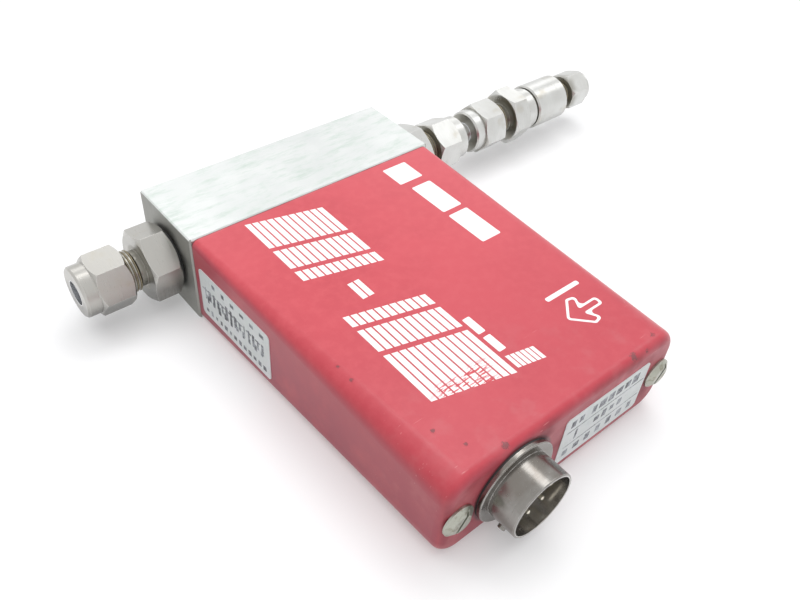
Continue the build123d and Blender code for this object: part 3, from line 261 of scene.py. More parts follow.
def cover_paint():
    """Satin red paint, rubbed on its corners, with flecks, nicks, dust and dirt, and painted shade:
    on its sides and connector end, most of all low down, a dark seam against the block, a dark ring
    round the connector's flange, and a deeper red toward the connector end.
    """
    paint = Finish("cover_paint")
    mottle = paint.clouds(2.2 * MM, detail=5)
    near_end = paint.y.between(-84 * MM, -110 * MM)
    end_face = paint.y.between(-113.8 * MM, -115.1 * MM)
    # dust and painted shade on the sides and the connector end, most of all low down
    from_middle = paint.x.absolute() + (paint.y - COVER_Y) * -SIDE_DRIFT
    side = from_middle.between(36.9 * MM, 37.6 * MM)
    cloud_patches = side.largest(end_face) * (paint.z.between(9 * MM, -8 * MM) * 0.5 + 0.5)
    cloud_patches = cloud_patches * paint.clouds(11 * MM, shift=2.7).between(0.15, 0.6)
    # painted shadow: a dark line along the seam against the base block
    seam_shadow = paint.y.between(-25.85 * MM, -25.55 * MM)
    # a faded bloom toward the connector end, and painted shade that deepens the red toward it
    bloom = paint.y.between(-80 * MM, -108 * MM)
    bloom = bloom * paint.clouds(6 * MM, shift=4.6).between(0.48, 0.72)
    shade_toward_end = paint.y.between(-50 * MM, -112 * MM)
    # rubbed, chalky corners
    rub = paint.clouds(7 * MM, shift=1.7)
    chalk = paint.worn_edge(1.6 * MM) * rub.between(0.40, 0.70) * 0.35
    # dirt and painted shade on the connector end, and a painted shadow close round the connector's
    # flange
    grime_and_end_shade = end_face * paint.clouds(9 * MM, shift=5.3).between(0.35, 0.75)
    flange_shadow = end_face * paint.from_axis(paint.x, CONNECTOR_X).between(11.7 * MM, 10.8 * MM)
    # nicks, dark and pale flecks, and hairline scratches across the top
    chips = paint.spots(CHIPS, ragged=0.8)
    flecks = paint.clouds(0.7 * MM, detail=2, shift=3.1).between(0.78, 0.83)
    flecks = flecks * paint.clouds(16 * MM, shift=8.8).between(0.42, 0.62)
    pale_flecks = paint.clouds(0.9 * MM, detail=2, shift=6.4).between(0.79, 0.84) * near_end
    hairs = paint.clouds(0.5 * MM, detail=1, stretch=(14, 1, 1), shift=7.7).between(0.71, 0.75)
    hairs = hairs * near_end * paint.clouds(5 * MM, shift=2.9).between(0.5, 0.62)
    red = paint.layered(
        paint.two_tone(24 * MM, (0.51, 0.038, 0.058), (0.57, 0.050, 0.072)),
        (mottle.between(0.35, 0.75) * 0.5, (0.60, 0.075, 0.095)),
        # painted shade and dust on the sides and the connector end
        (cloud_patches * 0.75, (0.29, 0.040, 0.076)),
        # painted shadow in the seam
        (seam_shadow * 0.8, (0.10, 0.025, 0.028)),
        (bloom * 0.45, (0.56, 0.135, 0.150)),
        # painted shade toward the connector end
        (shade_toward_end * 0.35, (0.40, 0.034, 0.055)),
        (chalk, (0.74, 0.28, 0.29)),
        # dirt and painted shade on the connector end
        (grime_and_end_shade * 0.5, (0.13, 0.050, 0.055)),
        # painted shadow round the flange
        (flange_shadow * 0.7, (0.045, 0.020, 0.022)),
        (chips * 0.75, (0.16, 0.075, 0.080)),
        (flecks * (0.35 + near_end * 0.35), (0.25, 0.06, 0.07)),
        (pale_flecks * 0.6, (0.80, 0.36, 0.34)),
        (hairs * 0.5, (0.74, 0.34, 0.34)))
    gloss = 0.36 + mottle * 0.10 + cloud_patches * 0.12 + grime_and_end_shade * 0.2 + chips * 0.3 + chalk * 0.3
    paint.set(Base_Color=red, Roughness=gloss, Coat_Weight=0.40 - grime_and_end_shade * 0.3, Coat_Roughness=0.30,
              Specular_IOR_Level=0.45)
    texture = mottle * 0.35 + paint.clouds(0.35 * MM, detail=2, shift=9.1) * 0.25 - chips * 1.6
    return paint.relief(texture, 0.035 * MM, soften=0.35 * MM).material


def block_steel():
    """Ground faces with a faint mottle, duller ends where the bar was sawn and milled, darkened
    further as painted shade, and pale edges that are wear and a painted highlight.
    """
    steel = Finish("ground_steel")
    lines = steel.clouds(0.18 * MM, detail=4, stretch=ALONG_X, shift=1.3)
    blotch = steel.clouds(2.4 * MM, detail=6, rough=0.7, stretch=(4, 1, 1), shift=4.4)
    sawn = steel.clouds(1.6 * MM, detail=5, rough=0.7, stretch=(1, 1, 5), shift=8.1)
    from_middle = steel.x.absolute()
    # the ends, where painted shade is laid with the milled finish
    ends = from_middle.between(37.95 * MM, 38.08 * MM).largest(
        steel.y.between(-24.85 * MM, -25.0 * MM) * from_middle.between(37.4 * MM, 37.6 * MM))
    body = steel.layered(
        steel.two_tone(14 * MM, (0.70, 0.715, 0.71), (0.64, 0.66, 0.655)),
        (blotch.between(0.44, 0.70) * 0.8, (0.52, 0.60, 0.55)),
        (lines.between(0.3, 0.8) * 0.22, (0.60, 0.62, 0.60)),
        # the sawn and milled ends: duller steel, darkened further as painted shade
        (ends * (0.75 + sawn * 0.25), (0.29, 0.285, 0.262)),
        # pale edges: wear, and a painted highlight along them
        (steel.worn_edge(SHARP_EDGE_R) * 0.15, (0.90, 0.90, 0.88)))
    gloss = 0.40 + (lines - 0.5) * 0.16 + blotch.between(0.5, 0.8) * 0.15 + ends * 0.12
    steel.set(Base_Color=body, Metallic=1.0, Roughness=gloss)
    return steel.relief(lines * 0.7 + blotch * 0.3, 0.012 * MM, soften=0.12 * MM).material


def metal(name, tint, shade, gloss, grain=NO_GRAIN, lines=0.02, soften=0.12, stain=None,
          stain_at=(0.6, 0.75), stain_size=6, worn=0.25, cloud=9, dull_and_shaded_from=None, recess_film_and_shade=None,
          bore=None):
    """Bare metal. grain is how far the machining lines run along X, Y and Z.

    stain is the colour of a film that lies where clouds of stain_size pass stain_at. With
    dull_and_shaded_from (x there, x where it ends), the metal is duller toward the first, with
    tarnish and painted shade, and darker still low down, where the shade is painted.
    recess_film_and_shade is the colour of the film left in the necks, which no cloth reaches,
    and of the painted shade there. bore (axis across, centre, radius, colour) is the clean metal
    inside a bore, where nothing rubs.
    """
    finish = Finish(name)
    fine = finish.clouds(0.16 * MM, detail=4, stretch=grain, shift=1.3)
    scuff = finish.clouds(1.1 * MM, detail=5, rough=0.7, shift=4.4)
    layers = []
    # toward the first x: duller, tarnished steel darkened further as painted shade, and darker
    # again low down, which is painted shade
    if dull_and_shaded_from:
        dull_and_shade = finish.x.between(dull_and_shaded_from[1] * MM, dull_and_shaded_from[0] * MM)
        low = finish.z.between(2 * MM, -4 * MM) * (0.7 + scuff * 0.5)
        layers = [(dull_and_shade, darker(tint, 0.70, DULL_AND_SHADE_CAST)),
                  (dull_and_shade * low, darker(tint, 0.34, DULL_AND_SHADE_CAST))]
    layers.append((fine.between(0.25, 0.8) * 0.28, darker(tint, 0.6)))
    if stain:
        film = finish.clouds(stain_size * MM, shift=6.2).between(*stain_at)
        layers.append((film * 0.7, stain))
    # film and painted shade in the necks and on the turned faces beside them
    if recess_film_and_shade:
        layers.append((finish.recess_film_and_shade() * 0.85, recess_film_and_shade))
    if bore:
        across, centre, radius, clean = bore
        from_axis = finish.from_axis(getattr(finish, across), centre)
        layers.append((from_axis.between((radius + 0.1) * MM, radius * MM), clean))
    # pale worn edges, which also serve as a painted highlight along the edges
    edge = finish.worn_edge(SHARP_EDGE_R) * scuff.between(0.3, 0.6)
    layers.append((edge * worn, (0.92, 0.91, 0.89)))
    body = finish.layered(finish.two_tone(cloud * MM, tint, shade), *layers)
    wear = scuff.between(0.55, 0.8) * 0.12 - edge * 0.05
    finish.set(Base_Color=body, Metallic=1.0, Roughness=gloss + (fine - 0.5) * 0.16 + wear)
    return finish.relief(fine * 0.8 + scuff * 0.2, lines * MM, soften=soften * MM).material


def moulding(name, tint, shade, gloss, pebble=0.3, depth=0.02):
    """Moulded plastic, rubber or sleeving, its skin pebbled that coarse and that deep."""
    finish = Finish(name)
    fine = finish.clouds(pebble * MM, detail=4, shift=2.6)
    cloud_patches = finish.clouds(1.4 * MM, detail=5, rough=0.7, shift=7.4).between(0.58, 0.85)
    dusty = tuple(part + 0.14 for part in tint)
    body = finish.layered(finish.two_tone(5 * MM, tint, shade), (cloud_patches * 0.22, dusty))
    finish.set(Base_Color=body, Roughness=gloss + cloud_patches * 0.2 + (fine - 0.5) * 0.1)
    return finish.relief(fine, depth * MM, soften=0.1 * MM).material


def label_film():
    """Pale printed film, a little soiled."""
    film = Finish("label_film")
    soil = film.clouds(1.6 * MM, detail=5, rough=0.65, shift=3.8)
    paper = film.layered(film.two_tone(6 * MM, (0.77, 0.81, 0.80), (0.83, 0.85, 0.86)),
                         (soil.between(0.5, 0.85) * 0.4, (0.42, 0.44, 0.47)))
    film.set(Base_Color=paper, Roughness=0.42 + soil * 0.2, Coat_Weight=0.15, Coat_Roughness=0.3)
    return film.relief(soil, 0.02 * MM, soften=0.05 * MM).material


def printed(name, ink, ground, wear_from, wear_to, scored_at=None):
    """Printed ink, worn through to its ground by specks, and by scoring round one place."""
    finish = Finish(name)
    grains = finish.clouds(0.55 * MM, detail=4, rough=0.7, stretch=(1, 2.5, 1), shift=2.2)
    patch = finish.clouds(6 * MM, shift=5.1)
    wear = (grains * 0.6 + patch * 0.4).between(wear_from, wear_to)
    if scored_at:
        near = finish.spot(scored_at, 8.0, ragged=0.3)
        low = finish.y.between(-93.5 * MM, -96.0 * MM)
        score = finish.clouds(0.30 * MM, detail=3, stretch=(9, 1.3, 1), shift=3.9)
        wear = wear.largest(near * low * score.between(0.50, 0.58))
    finish.set(Base_Color=finish.blend(wear, ink, ground), Roughness=0.45 + wear * 0.1)
    return finish.relief(grains, 0.01 * MM).material


def board_resist():
    """Green solder resist with copper runs under it."""
    board = Finish("circuit_board")
    runs_x, runs_y = [board.node("ShaderNodeTexWave", {"bands_direction": axis},
                                 {"Vector": board.place, "Scale": scale, "Distortion": 0.0},
                                 "Fac").between(0.72, 0.8)
                      for axis, scale in (("X", 260.0), ("Y", 180.0))]
    # one direction in some patches, the other in the rest
    patch = board.clouds(8 * MM, detail=1)
    copper = (runs_x * patch.between(0.5, 0.52)).largest(runs_y * patch.between(0.5, 0.48))
    body = board.blend(copper, (0.015, 0.10, 0.045), (0.05, 0.22, 0.09))
    board.set(Base_Color=body, Roughness=0.35 + board.clouds(1 * MM) * 0.15)
    return board.relief(copper, 0.03 * MM).material


STEEL = (0.70, 0.705, 0.69)
STEEL_SHADE = (0.61, 0.61, 0.59)
DULL_AND_SHADE_CAST = (1.0, 0.97, 0.93)    # dulled steel is a little warmer, and so is the painted shade laid with it

finishes = {
    "ground_steel": block_steel(),
    "cover_paint": cover_paint(),
    "fitting_steel": metal(
        "fitting_steel", STEEL, STEEL_SHADE, 0.30, ROUND_X, lines=0.008, worn=0.5,
        stain=(0.46, 0.43, 0.36), stain_at=(0.54, 0.78), dull_and_shaded_from=(-44, 44),
        recess_film_and_shade=(0.30, 0.29, 0.255), bore=("y", FLOW_Y, FITTING_BORE_R, (0.82, 0.83, 0.85))),
    "plated_shell": metal(
        "plated_shell", (0.31, 0.297, 0.280), (0.24, 0.228, 0.210), 0.23, ROUND_Y, lines=0.004,
        worn=0.5, stain=(0.20, 0.18, 0.16), stain_at=(0.46, 0.66),
        bore=("x", CONNECTOR_X, SHELL_BORE_R, (0.62, 0.60, 0.58))),
    "screw_plate": metal(
        "screw_plate", (0.50, 0.51, 0.45), (0.42, 0.42, 0.36), 0.40, lines=0.010,
        stain=(0.25, 0.23, 0.17), stain_at=(0.50, 0.66), stain_size=1.6),
    "label_film": label_film(),
    "seal_rubber": moulding("seal_rubber", (0.020, 0.020, 0.021), (0.034, 0.033, 0.032), 0.62),
    "black_plastic": moulding("black_plastic", (0.15, 0.143, 0.133), (0.19, 0.182, 0.168), 0.45),
    "gold_contact": metal("gold_contact", (0.90, 0.86, 0.74), (0.84, 0.78, 0.64), 0.38, ROUND_Y,
                          lines=0.003),
    "circuit_board": board_resist(),
    "chip_case": moulding("chip_case", (0.018, 0.018, 0.019), (0.03, 0.03, 0.03), 0.5, 0.15),
    "resistor_body": moulding("resistor_body", (0.07, 0.07, 0.08), (0.10, 0.10, 0.11), 0.4, 0.2),
    "can_metal": metal("can_metal", (0.78, 0.78, 0.79), (0.70, 0.70, 0.71), 0.36),
    "trimmer_body": moulding("trimmer_body", (0.03, 0.10, 0.42), (0.04, 0.13, 0.48), 0.35),
    "lead_sleeve": moulding("lead_sleeve", (0.62, 0.55, 0.38), (0.68, 0.61, 0.44), 0.5),
    "winding_wire": metal("winding_wire", (0.60, 0.26, 0.13), (0.48, 0.20, 0.10), 0.35, ROUND_X,
                          lines=0.05),
    "sintered_steel": metal("sintered_steel", (0.50, 0.49, 0.47), (0.42, 0.41, 0.40), 0.62,
                            lines=0.05, cloud=2),
    "valve_ball_ceramic": moulding("valve_ball_ceramic", (0.42, 0.02, 0.05), (0.50, 0.03, 0.07),
                                   0.12, depth=0.002),
}
print_white = printed("print_white", (0.90, 0.89, 0.89), (0.60, 0.07, 0.09), 0.64, 0.70,
                      scored_at=(-15.0, -98.6, 12.4))
print_grey = printed("print_grey", (0.055, 0.060, 0.070), (0.50, 0.52, 0.56), 0.42, 0.62)
thread_steel = metal("thread_steel", (0.50, 0.44, 0.31), (0.30, 0.26, 0.18), 0.25, ROUND_X,
                     lines=0.006, soften=0.03, recess_film_and_shade=(0.22, 0.19, 0.13))

slots = {entry["node"]: entry["material_slot"] for entry in frame["record"]["subparts"]}
for node_name, node_object in frame["nodes"].items():
    node_object.data.materials.clear()
    node_object.data.materials.append(finishes[slots[node_name]])


# ---------------------------------------------------------------- geometry node trees

RING_SIDES = 64     # corners of a thread's ring
CREST_SIDES = 4     # corners of its section


class Grower(Bench):
    """A Geometry Nodes tree whose result becomes a plain mesh."""

    def __init__(self, name, inputs):
        super().__init__(bpy.data.node_groups.new(name, "GeometryNodeTree"))
        self.identifiers = {}
        for label, kind in inputs.items():
            item = self.tree.interface.new_socket(label, in_out="INPUT", socket_type=kind)
            self.identifiers[label] = item.identifier
        self.tree.interface.new_socket("Geometry", in_out="OUTPUT",
                                       socket_type="NodeSocketGeometry")
        sockets = self.tree.nodes.new("NodeGroupInput").outputs
        self.given = {label: Value(self, sockets[label]) for label in inputs}
        self.result = self.tree.nodes.new("NodeGroupOutput")

    def finish(self, instances):
        """End in Realize Instances and Set Material."""
        solid = self.node("GeometryNodeRealizeInstances", {}, [instances])
        dressed = self.node("GeometryNodeSetMaterial", {}, {"Geometry": solid,
                                                            "Material": self.given["Material"]})
        self.tree.links.new(dressed.socket, self.result.inputs[0])

    def grow(self, name, material, **values):
        """Run the tree with these inputs and return its mesh as an object."""
        holder = bpy.data.objects.new(name, bpy.data.meshes.new(name + "_start"))
        scene.collection.objects.link(holder)
        modifier = holder.modifiers.new("grow", "NODES")
        modifier.node_group = self.tree
        modifier[self.identifiers["Material"]] = material
        for label, value in values.items():
            modifier[self.identifiers[label.replace("_", " ")]] = value
        bpy.context.view_layer.update()
        evaluated = holder.evaluated_get(bpy.context.evaluated_depsgraph_get())
        mesh = bpy.data.meshes.new_from_object(evaluated)
        holder.modifiers.remove(modifier)
        holder.data = mesh
        mesh.name = name
        return holder


def thread_tree():
    """Crests of a thread: rings along X, each with a sloped profile."""
    grower = Grower("thread_turns", {"Radius": "NodeSocketFloat", "Crest": "NodeSocketFloat",
                                     "Pitch": "NodeSocketFloat", "Turns": "NodeSocketInt",
                                     "Start": "NodeSocketVector", "Material": "NodeSocketMaterial"})
    given = grower.given
    path = grower.node("GeometryNodeCurvePrimitiveCircle", {},
                       {"Resolution": RING_SIDES, "Radius": given["Radius"]})
    section = grower.node("GeometryNodeCurvePrimitiveCircle", {},
                          {"Resolution": CREST_SIDES, "Radius": given["Crest"]})
    ring = grower.node("GeometryNodeCurveToMesh", {}, {0: path, 1: section})
    ring = grower.node("GeometryNodeTransform", {},
                       {"Geometry": ring, "Rotation": (0, math.pi / 2, 0)})
    step = grower.node("ShaderNodeCombineXYZ", {}, {"X": given["Pitch"]})
    line = grower.node("GeometryNodeMeshLine", {}, {
        "Count": given["Turns"], "Start Location": given["Start"], "Offset": step})
    rings = grower.node("GeometryNodeInstanceOnPoints", {}, {"Points": line, "Instance": ring})
    grower.finish(rings)
    return grower


def bar_tree():
    """A row of thin flat bars along Y; Uneven is the share of their size that is left to chance."""
    grower = Grower("printed_bars", {"Length": "NodeSocketFloat", "Width": "NodeSocketFloat",
                                     "Height": "NodeSocketFloat", "Pitch": "NodeSocketFloat",
                                     "Count": "NodeSocketInt", "Uneven": "NodeSocketFloat",
                                     "Seed": "NodeSocketInt", "Material": "NodeSocketMaterial"})
    given = grower.given
    size = grower.node("ShaderNodeCombineXYZ", {}, {
        "X": given["Length"], "Y": given["Width"], "Z": given["Height"]})
    bar = grower.node("GeometryNodeMeshCube", {}, {"Size": size})
    step = grower.node("ShaderNodeCombineXYZ", {}, {"Y": given["Pitch"]})
    line = grower.node("GeometryNodeMeshLine", {}, {"Count": given["Count"], "Offset": step})
    least = 1.0 - given["Uneven"]
    low = grower.node("ShaderNodeCombineXYZ", {}, {"X": least, "Y": least, "Z": 1.0})
    spread = grower.node("FunctionNodeRandomValue", {"data_type": "FLOAT_VECTOR"},
                         {0: low, 1: (1.0, 1.0, 1.0), "Seed": given["Seed"]})
    bars = grower.node("GeometryNodeInstanceOnPoints", {}, {
        "Points": line, "Instance": bar, "Scale": spread})
    grower.finish(bars)
    return grower


def settle(piece, place=None):
    """Apply a place to a new piece's mesh and let it ride on the body."""
    if place is not None:
        piece.data.transform(place)
    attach(piece, "root")


# ---------------------------------------------------------------- printing

INK = 0.03 * MM         # how thick printing is
CORNER_STEPS = 5        # parts of a printed shape's rounded corner
STRIPE_PITCH = 1.85     # millimetres
STRIPE_WIDTH = 1.43


def top_face(y):
    """Place in the middle of the cover's top face at y millimetres, sloped as the face is."""
    drop = (COVER_Y - y * MM) * TOP_DROP
    tilt = Matrix.Rotation(math.atan(TOP_DROP), 4, "X")
    return Matrix.Translation((0, y * MM, TOP_Z - drop + INK / 2)) @ tilt


def flat_shape(name, loops):
    """A flat printed shape bounded by loops of (x, y) in millimetres; inner loops cut holes."""
    curve = bpy.data.curves.new(name, "CURVE")
    curve.dimensions = "2D"
    curve.fill_mode = "BOTH"
    curve.extrude = INK / 2
    for points in loops:
        spline = curve.splines.new("POLY")
        spline.points.add(len(points) - 1)
        for knot, (x, y) in zip(spline.points, points):
            knot.co = (x * MM, y * MM, 0, 1)
        spline.use_cyclic_u = True
    holder = bpy.data.objects.new(name + "_curve", curve)
    scene.collection.objects.link(holder)
    mesh = bpy.data.meshes.new_from_object(
        holder.evaluated_get(bpy.context.evaluated_depsgraph_get()))
    bpy.data.objects.remove(holder)
    mesh.materials.clear()
    mesh.materials.append(print_white)
    piece = bpy.data.objects.new(name, mesh)
    scene.collection.objects.link(piece)
    return piece


def rounded(points, radius):
    """The loop of points with each corner rounded."""
    loop = []
    count = len(points)
    for index in range(count):
        before, here, after = (Vector(points[(index + k) % count]) for k in (-1, 0, 1))
        into = (before - here).normalized()
        out = (after - here).normalized()
        half = into.angle(out) / 2
        reach = min(radius / math.tan(half), (before - here).length / 2, (after - here).length / 2)
        arc_r = reach * math.tan(half)
        centre = here + (into + out).normalized() * (arc_r / math.sin(half))
        first = here + into * reach - centre
        last = here + out * reach - centre
        sweep = first.angle_signed(last)
        for step in range(CORNER_STEPS + 1):
            turned = Matrix.Rotation(-sweep * step / CORNER_STEPS, 2) @ first
            loop.append(tuple(centre + turned))
    return loop


def striped(y_near, length, x_low, x_high, slant=0.0, pitch=STRIPE_PITCH, width=STRIPE_WIDTH):
    """Stripes along Y, each that long; those at higher x start further out by up to slant."""
    shapes = []
    for number in range(round((x_high - x_low + pitch - width) / pitch)):
        low = x_low + number * pitch
        near = [(x, y_near - slant * (x - x_low) / (x_high - x_low)) for x in (low, low + width)]
        shapes.append(near + [(x, y - length) for x, y in reversed(near)])
    return shapes


def bar(y_near, y_far, x_low, x_high, corner):
    """A plain bar with rounded corners."""
    return [rounded([(x_low, y_near), (x_high, y_near), (x_high, y_far), (x_low, y_far)], corner)]


def on_top(name, loops):
    """Print flat shapes, given in row millimetres, on the cover's top face."""
    middle_y = sum(point[1] for point in loops[0]) / len(loops[0])
    shifted = [[(x, y - middle_y) for x, y in loop] for loop in loops]
    settle(flat_shape(name, shifted), top_face(middle_y))


# a long striped band cut on the slant into six lengths, with a short dash at its middle
BAND = (-24.0, -4.07)
SLANT = 5.0
for number, (near, length) in enumerate(((-27.4, 11.0), (-39.9, 7.5), (-48.9, 3.7), (-67.4, 3.7),
                                         (-72.6, 7.5), (-81.6, 15.4)), 1):
    on_top(f"band_{number}", striped(near, length, *BAND, SLANT))
on_top("band_dash", striped(-59.4, 6.0, -16.6, -13.32))
# thin bars beside it
on_top("thin_bar_1", bar(-83.7, -89.2, -3.0, -0.9, 0.3))
on_top("thin_bar_2", bar(-90.4, -95.6, -3.0, -0.9, 0.3))
on_top("short_band", striped(-97.2, 4.0, -3.0, 4.53, 1.6, pitch=1.25, width=0.95))
# a row of solid bars by the other corner
on_top("solid_bar_1", bar(-28.6, -36.4, 19.0, 26.8, 0.4))
on_top("solid_bar_2", bar(-39.2, -52.0, 20.4, 26.8, 0.5))
on_top("solid_bar_3", bar(-53.8, -66.6, 20.4, 26.8, 0.5))
# an arrow in outline that points along the flow, under a thin bar
on_top("arrow_bar", bar(-90.0, -91.3, 17.4, 28.6, 0.5))
ARROW = [(27.9, -96.5), (22.6, -96.5), (24.2, -93.6), (21.4, -93.0), (16.6, -97.8), (21.4, -102.6),
         (24.2, -102.0), (22.6, -99.1), (27.9, -99.1)]
ARROW_INSIDE = [(27.2, -97.1), (21.5, -97.1), (23.2, -94.1), (21.6, -93.7), (17.5, -97.8),
                (21.6, -101.9), (23.2, -101.5), (21.5, -98.5), (27.2, -98.5)]
on_top("flow_arrow", [rounded(ARROW, 0.9), rounded(ARROW_INSIDE, 0.5)])

bars = bar_tree()


def label_place(centre, along, out):
    """Place whose X runs along a label's rows, Y up the label and Z out of its face."""
    return Matrix.Translation(centre) @ Matrix((along, (0, 0, 1), out)).transposed().to_4x4()


def ruled(name, place, rows):
    """Rows of dashes on a label.

    Each row is (x, y, dash length, dash height, pitch, count, unevenness), in millimetres.
    """
    quarter_turn = Matrix.Rotation(math.radians(-90), 4, "Z")    # from along Y to along X
    for number, (x, y, length, height, pitch, count, uneven) in enumerate(rows, 1):
        marks = bars.grow(f"{name}_row_{number}", print_grey, Length=height * MM, Width=length * MM,
                          Height=INK, Pitch=pitch * MM, Count=count, Uneven=uneven, Seed=number)
        start = Matrix.Translation((x * MM, y * MM, INK / 2))
        settle(marks, place @ start @ quarter_turn)


LABEL_THICK = 0.15 * MM
front_centre = Vector((12.9 * MM, END_Y - LABEL_THICK, -0.8 * MM))
ruled("front_label", label_place(front_centre, (1, 0, 0), (0, -1, 0)), (
    (-11.4, 4.9, 1.9, 2.1, 2.6, 2, 0.3), (-4.6, 5.0, 2.4, 2.9, 2.9, 6, 0.45),
    (0.4, 2.5, 26.4, 0.22, 1, 1, 0.0), (-9.4, 0.1, 0.7, 3.2, 1.0, 1, 0.0),
    (-2.4, 0.1, 2.0, 2.4, 2.7, 4, 0.4), (0.4, -2.6, 26.4, 0.22, 1, 1, 0.0),
    (-11.6, -5.0, 1.9, 2.3, 3.8, 7, 0.35)))
side_along = Vector((SIDE_DRIFT, -1, 0)).normalized()
side_out = Vector((-1, -SIDE_DRIFT, 0)).normalized()
side_centre = (Vector((SIDE_X, COVER_Y, -1.2 * MM)) + side_along * 17.2 * MM
               + side_out * LABEL_THICK)
ruled("side_label", label_place(side_centre, side_along, side_out), (
    (-8.6, 5.2, 1.8, 1.4, 4.1, 6, 0.4), (-12.6, 0.7, 1.2, 4.8, 1.9, 14, 0.7),
    (-11.7, -0.9, 1.5, 3.4, 2.6, 10, 0.65), (-12.6, 1.9, 2.6, 0.5, 3.8, 7, 0.3),
    (-12.6, -5.1, 1.3, 1.7, 2.1, 13, 0.5)))


# ---------------------------------------------------------------- threads on the necks

THREAD_PITCH = 0.9 * MM
THREAD_CREST = 0.34 * MM
threads = thread_tree()


def thread_turns(name, start_x, end_x, radius):
    """Thread crests round the flow axis from start_x to end_x, in millimetres."""
    turns = round((end_x - start_x) * MM / THREAD_PITCH)
    start = (start_x * MM + THREAD_PITCH / 2, FLOW_Y, 0)
    piece = threads.grow(name, thread_steel, Radius=radius * MM, Crest=THREAD_CREST,
                         Pitch=THREAD_PITCH, Turns=turns, Start=start)
    settle(piece)


for row in (("outlet_thread", -50.9, -48.2, 5.22), ("inlet_thread", 48.2, 50.9, 5.22),
            ("filter_thread", 79.4, 82.1, 5.22), ("end_thread", 112.4, 114.3, 3.78)):
    thread_turns(*row)


# ---------------------------------------------------------------- camera, floor and light

CAMERA_PLACE = (-0.101805, -0.166767, 0.137377)
CAMERA_RIGHT = (0.7633, -0.64268, 0.06587)
CAMERA_UP = (0.40503, 0.55549, 0.72621)
CAMERA_BACK = (-0.50331, -0.52763, 0.68431)

camera_data = bpy.data.cameras.new("camera")
camera_data.sensor_width = 36.0
camera_data.lens = 36.08
camera_data.clip_start = 0.01
camera = bpy.data.objects.new("camera", camera_data)
scene.collection.objects.link(camera)
camera_axes = Matrix((CAMERA_RIGHT, CAMERA_UP, CAMERA_BACK)).transposed()
camera.matrix_world = Matrix.Translation(CAMERA_PLACE) @ camera_axes.to_4x4()
scene.camera = camera

FLOOR_Z = -13.02 * MM           # just under the object
FLOOR_SIZE = 4.0                # metres
FLOOR_LIFT = 0.24               # share of pure white in the paper round the object
LIFT_CENTRE = (0.02, -0.05, FLOOR_Z)
LIFT_STARTS, LIFT_FULL = 0.18, 0.48     # metres from that centre where it grows to all white
PAPER_SEEN = (0.95, 0.95, 0.955)
PAPER_LIGHT = (0.62, 0.62, 0.62)        # the paper's colour in the light it throws back
ROOM_LIGHT = (0.97, 0.98, 1.0)
ROOM_STRENGTH = 0.36
WHITE = (1, 1, 1)


def seen_directly(bench):
    """1 for rays from the camera, a mirror or glass, and 0 for those that light a surface."""
    camera_ray = bench.node("ShaderNodeLightPath", {}, {}, "Is Camera Ray")
    glossy_ray = bench.node("ShaderNodeLightPath", {}, {}, "Is Glossy Ray")
    glass_ray = bench.node("ShaderNodeLightPath", {}, {}, "Is Transmission Ray")
    return camera_ray.largest(glossy_ray).largest(glass_ray)


def floor_material():
    """White paper that keeps the object's shadow and throws little light back up."""
    paper = Finish("white_paper")
    fibre = paper.clouds(3 * MM, detail=5)
    direct = seen_directly(paper)
    shade = paper.blend(direct, PAPER_LIGHT, PAPER_SEEN)
    shade = paper.blend(fibre * 0.1, shade, (0.9, 0.9, 0.9), "MULTIPLY")
    paper.set(Base_Color=shade, Roughness=0.9, Specular_IOR_Level=0.1)
    white = paper.node("ShaderNodeEmission", {}, {"Color": colour(WHITE), "Strength": 1.0})
    away = paper.node("ShaderNodeVectorMath", {"operation": "DISTANCE"},
                      {0: paper.place, 1: LIFT_CENTRE}, "Value")
    lift = away.between(LIFT_STARTS, LIFT_FULL) * (1 - FLOOR_LIFT) + FLOOR_LIFT
    lifted = paper.node("ShaderNodeMixShader", {}, {
        0: direct * lift, 1: Value(paper, paper.shader.outputs[0]), 2: white})
    paper.tree.links.new(lifted.socket, paper.output.inputs["Surface"])
    return paper.material


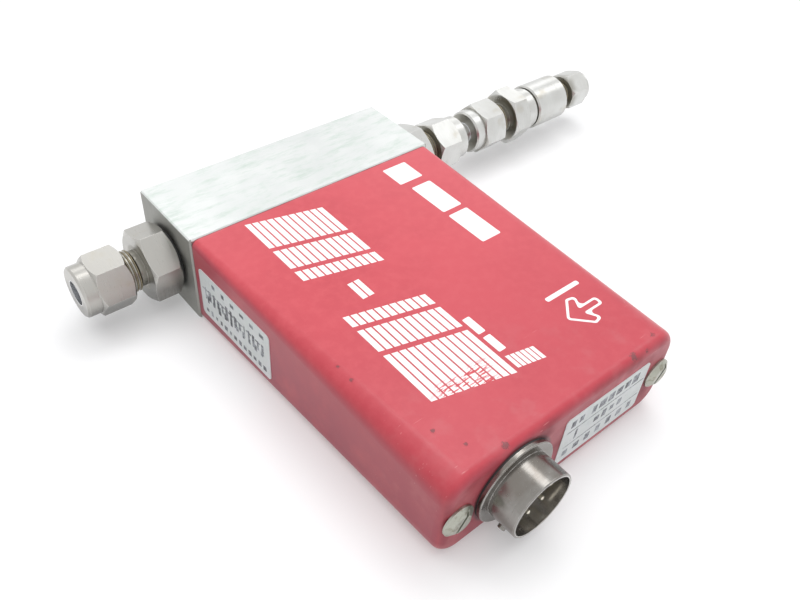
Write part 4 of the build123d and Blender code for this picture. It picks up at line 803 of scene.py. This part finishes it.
floor_mesh = bpy.data.meshes.new("floor")
builder = bmesh.new()
bmesh.ops.create_grid(builder, x_segments=1, y_segments=1, size=FLOOR_SIZE)
builder.to_mesh(floor_mesh)
builder.free()
floor_mesh.transform(Matrix.Translation((0, 0, FLOOR_Z)))
floor_mesh.materials.append(floor_material())
floor = bpy.data.objects.new("floor", floor_mesh)
scene.collection.objects.link(floor)

world = bpy.data.worlds.new("studio")
scene.world = world
world.use_nodes = True
world.node_tree.nodes.clear()
sky = Bench(world.node_tree)
fill = sky.node("ShaderNodeBackground", {}, {"Color": colour(ROOM_LIGHT),
                                             "Strength": ROOM_STRENGTH})
seen = sky.node("ShaderNodeBackground", {}, {"Color": colour(WHITE), "Strength": 1.0})
either = sky.node("ShaderNodeMixShader", {}, {0: seen_directly(sky), 1: fill, 2: seen})
sky.node("ShaderNodeOutputWorld", {}, {"Surface": either}, None)


def softbox(name, place, target, width, height, power, mirrored):
    """A rectangular lamp at place, facing target; metres and watts."""
    lamp = bpy.data.lights.new(name, "AREA")
    lamp.shape = "RECTANGLE"
    lamp.size = width
    lamp.size_y = height
    lamp.energy = power
    holder = bpy.data.objects.new(name, lamp)
    scene.collection.objects.link(holder)
    holder.visible_glossy = mirrored
    facing = (Vector(target) - Vector(place)).to_track_quat("-Z", "Y")
    holder.matrix_world = Matrix.Translation(place) @ facing.to_matrix().to_4x4()


# name, place, target, width, height, power, and whether metal mirrors the lamp
for row in (
        ("overhead", (0.0, 0.0, 0.78), (0.0, -0.04, 0), 1.1, 1.0, 6.0, False),
        ("front", (-0.15, -0.78, 0.52), (0.0, -0.08, 0), 0.75, 0.60, 1.3, False),
        ("back", (0.14, 0.63, 0.54), (-0.04, -0.012, 0), 0.40, 0.30, 0.37, True),
        ("back_left", (-0.41, 0.58, 0.41), (-0.06, -0.012, 0), 0.30, 0.30, 0.20, True),
        ("right", (0.28, 0.12, 0.76), (-0.016, -0.12, 0), 0.40, 0.28, 0.95, True),
        ("back_right", (0.65, 0.47, 0.45), (0.08, -0.012, 0), 0.40, 0.30, 0.30, True),
        ("side_right", (0.65, -0.12, 0.63), (0.08, -0.012, 0), 0.30, 0.30, 0.36, True)):
    softbox(*row)
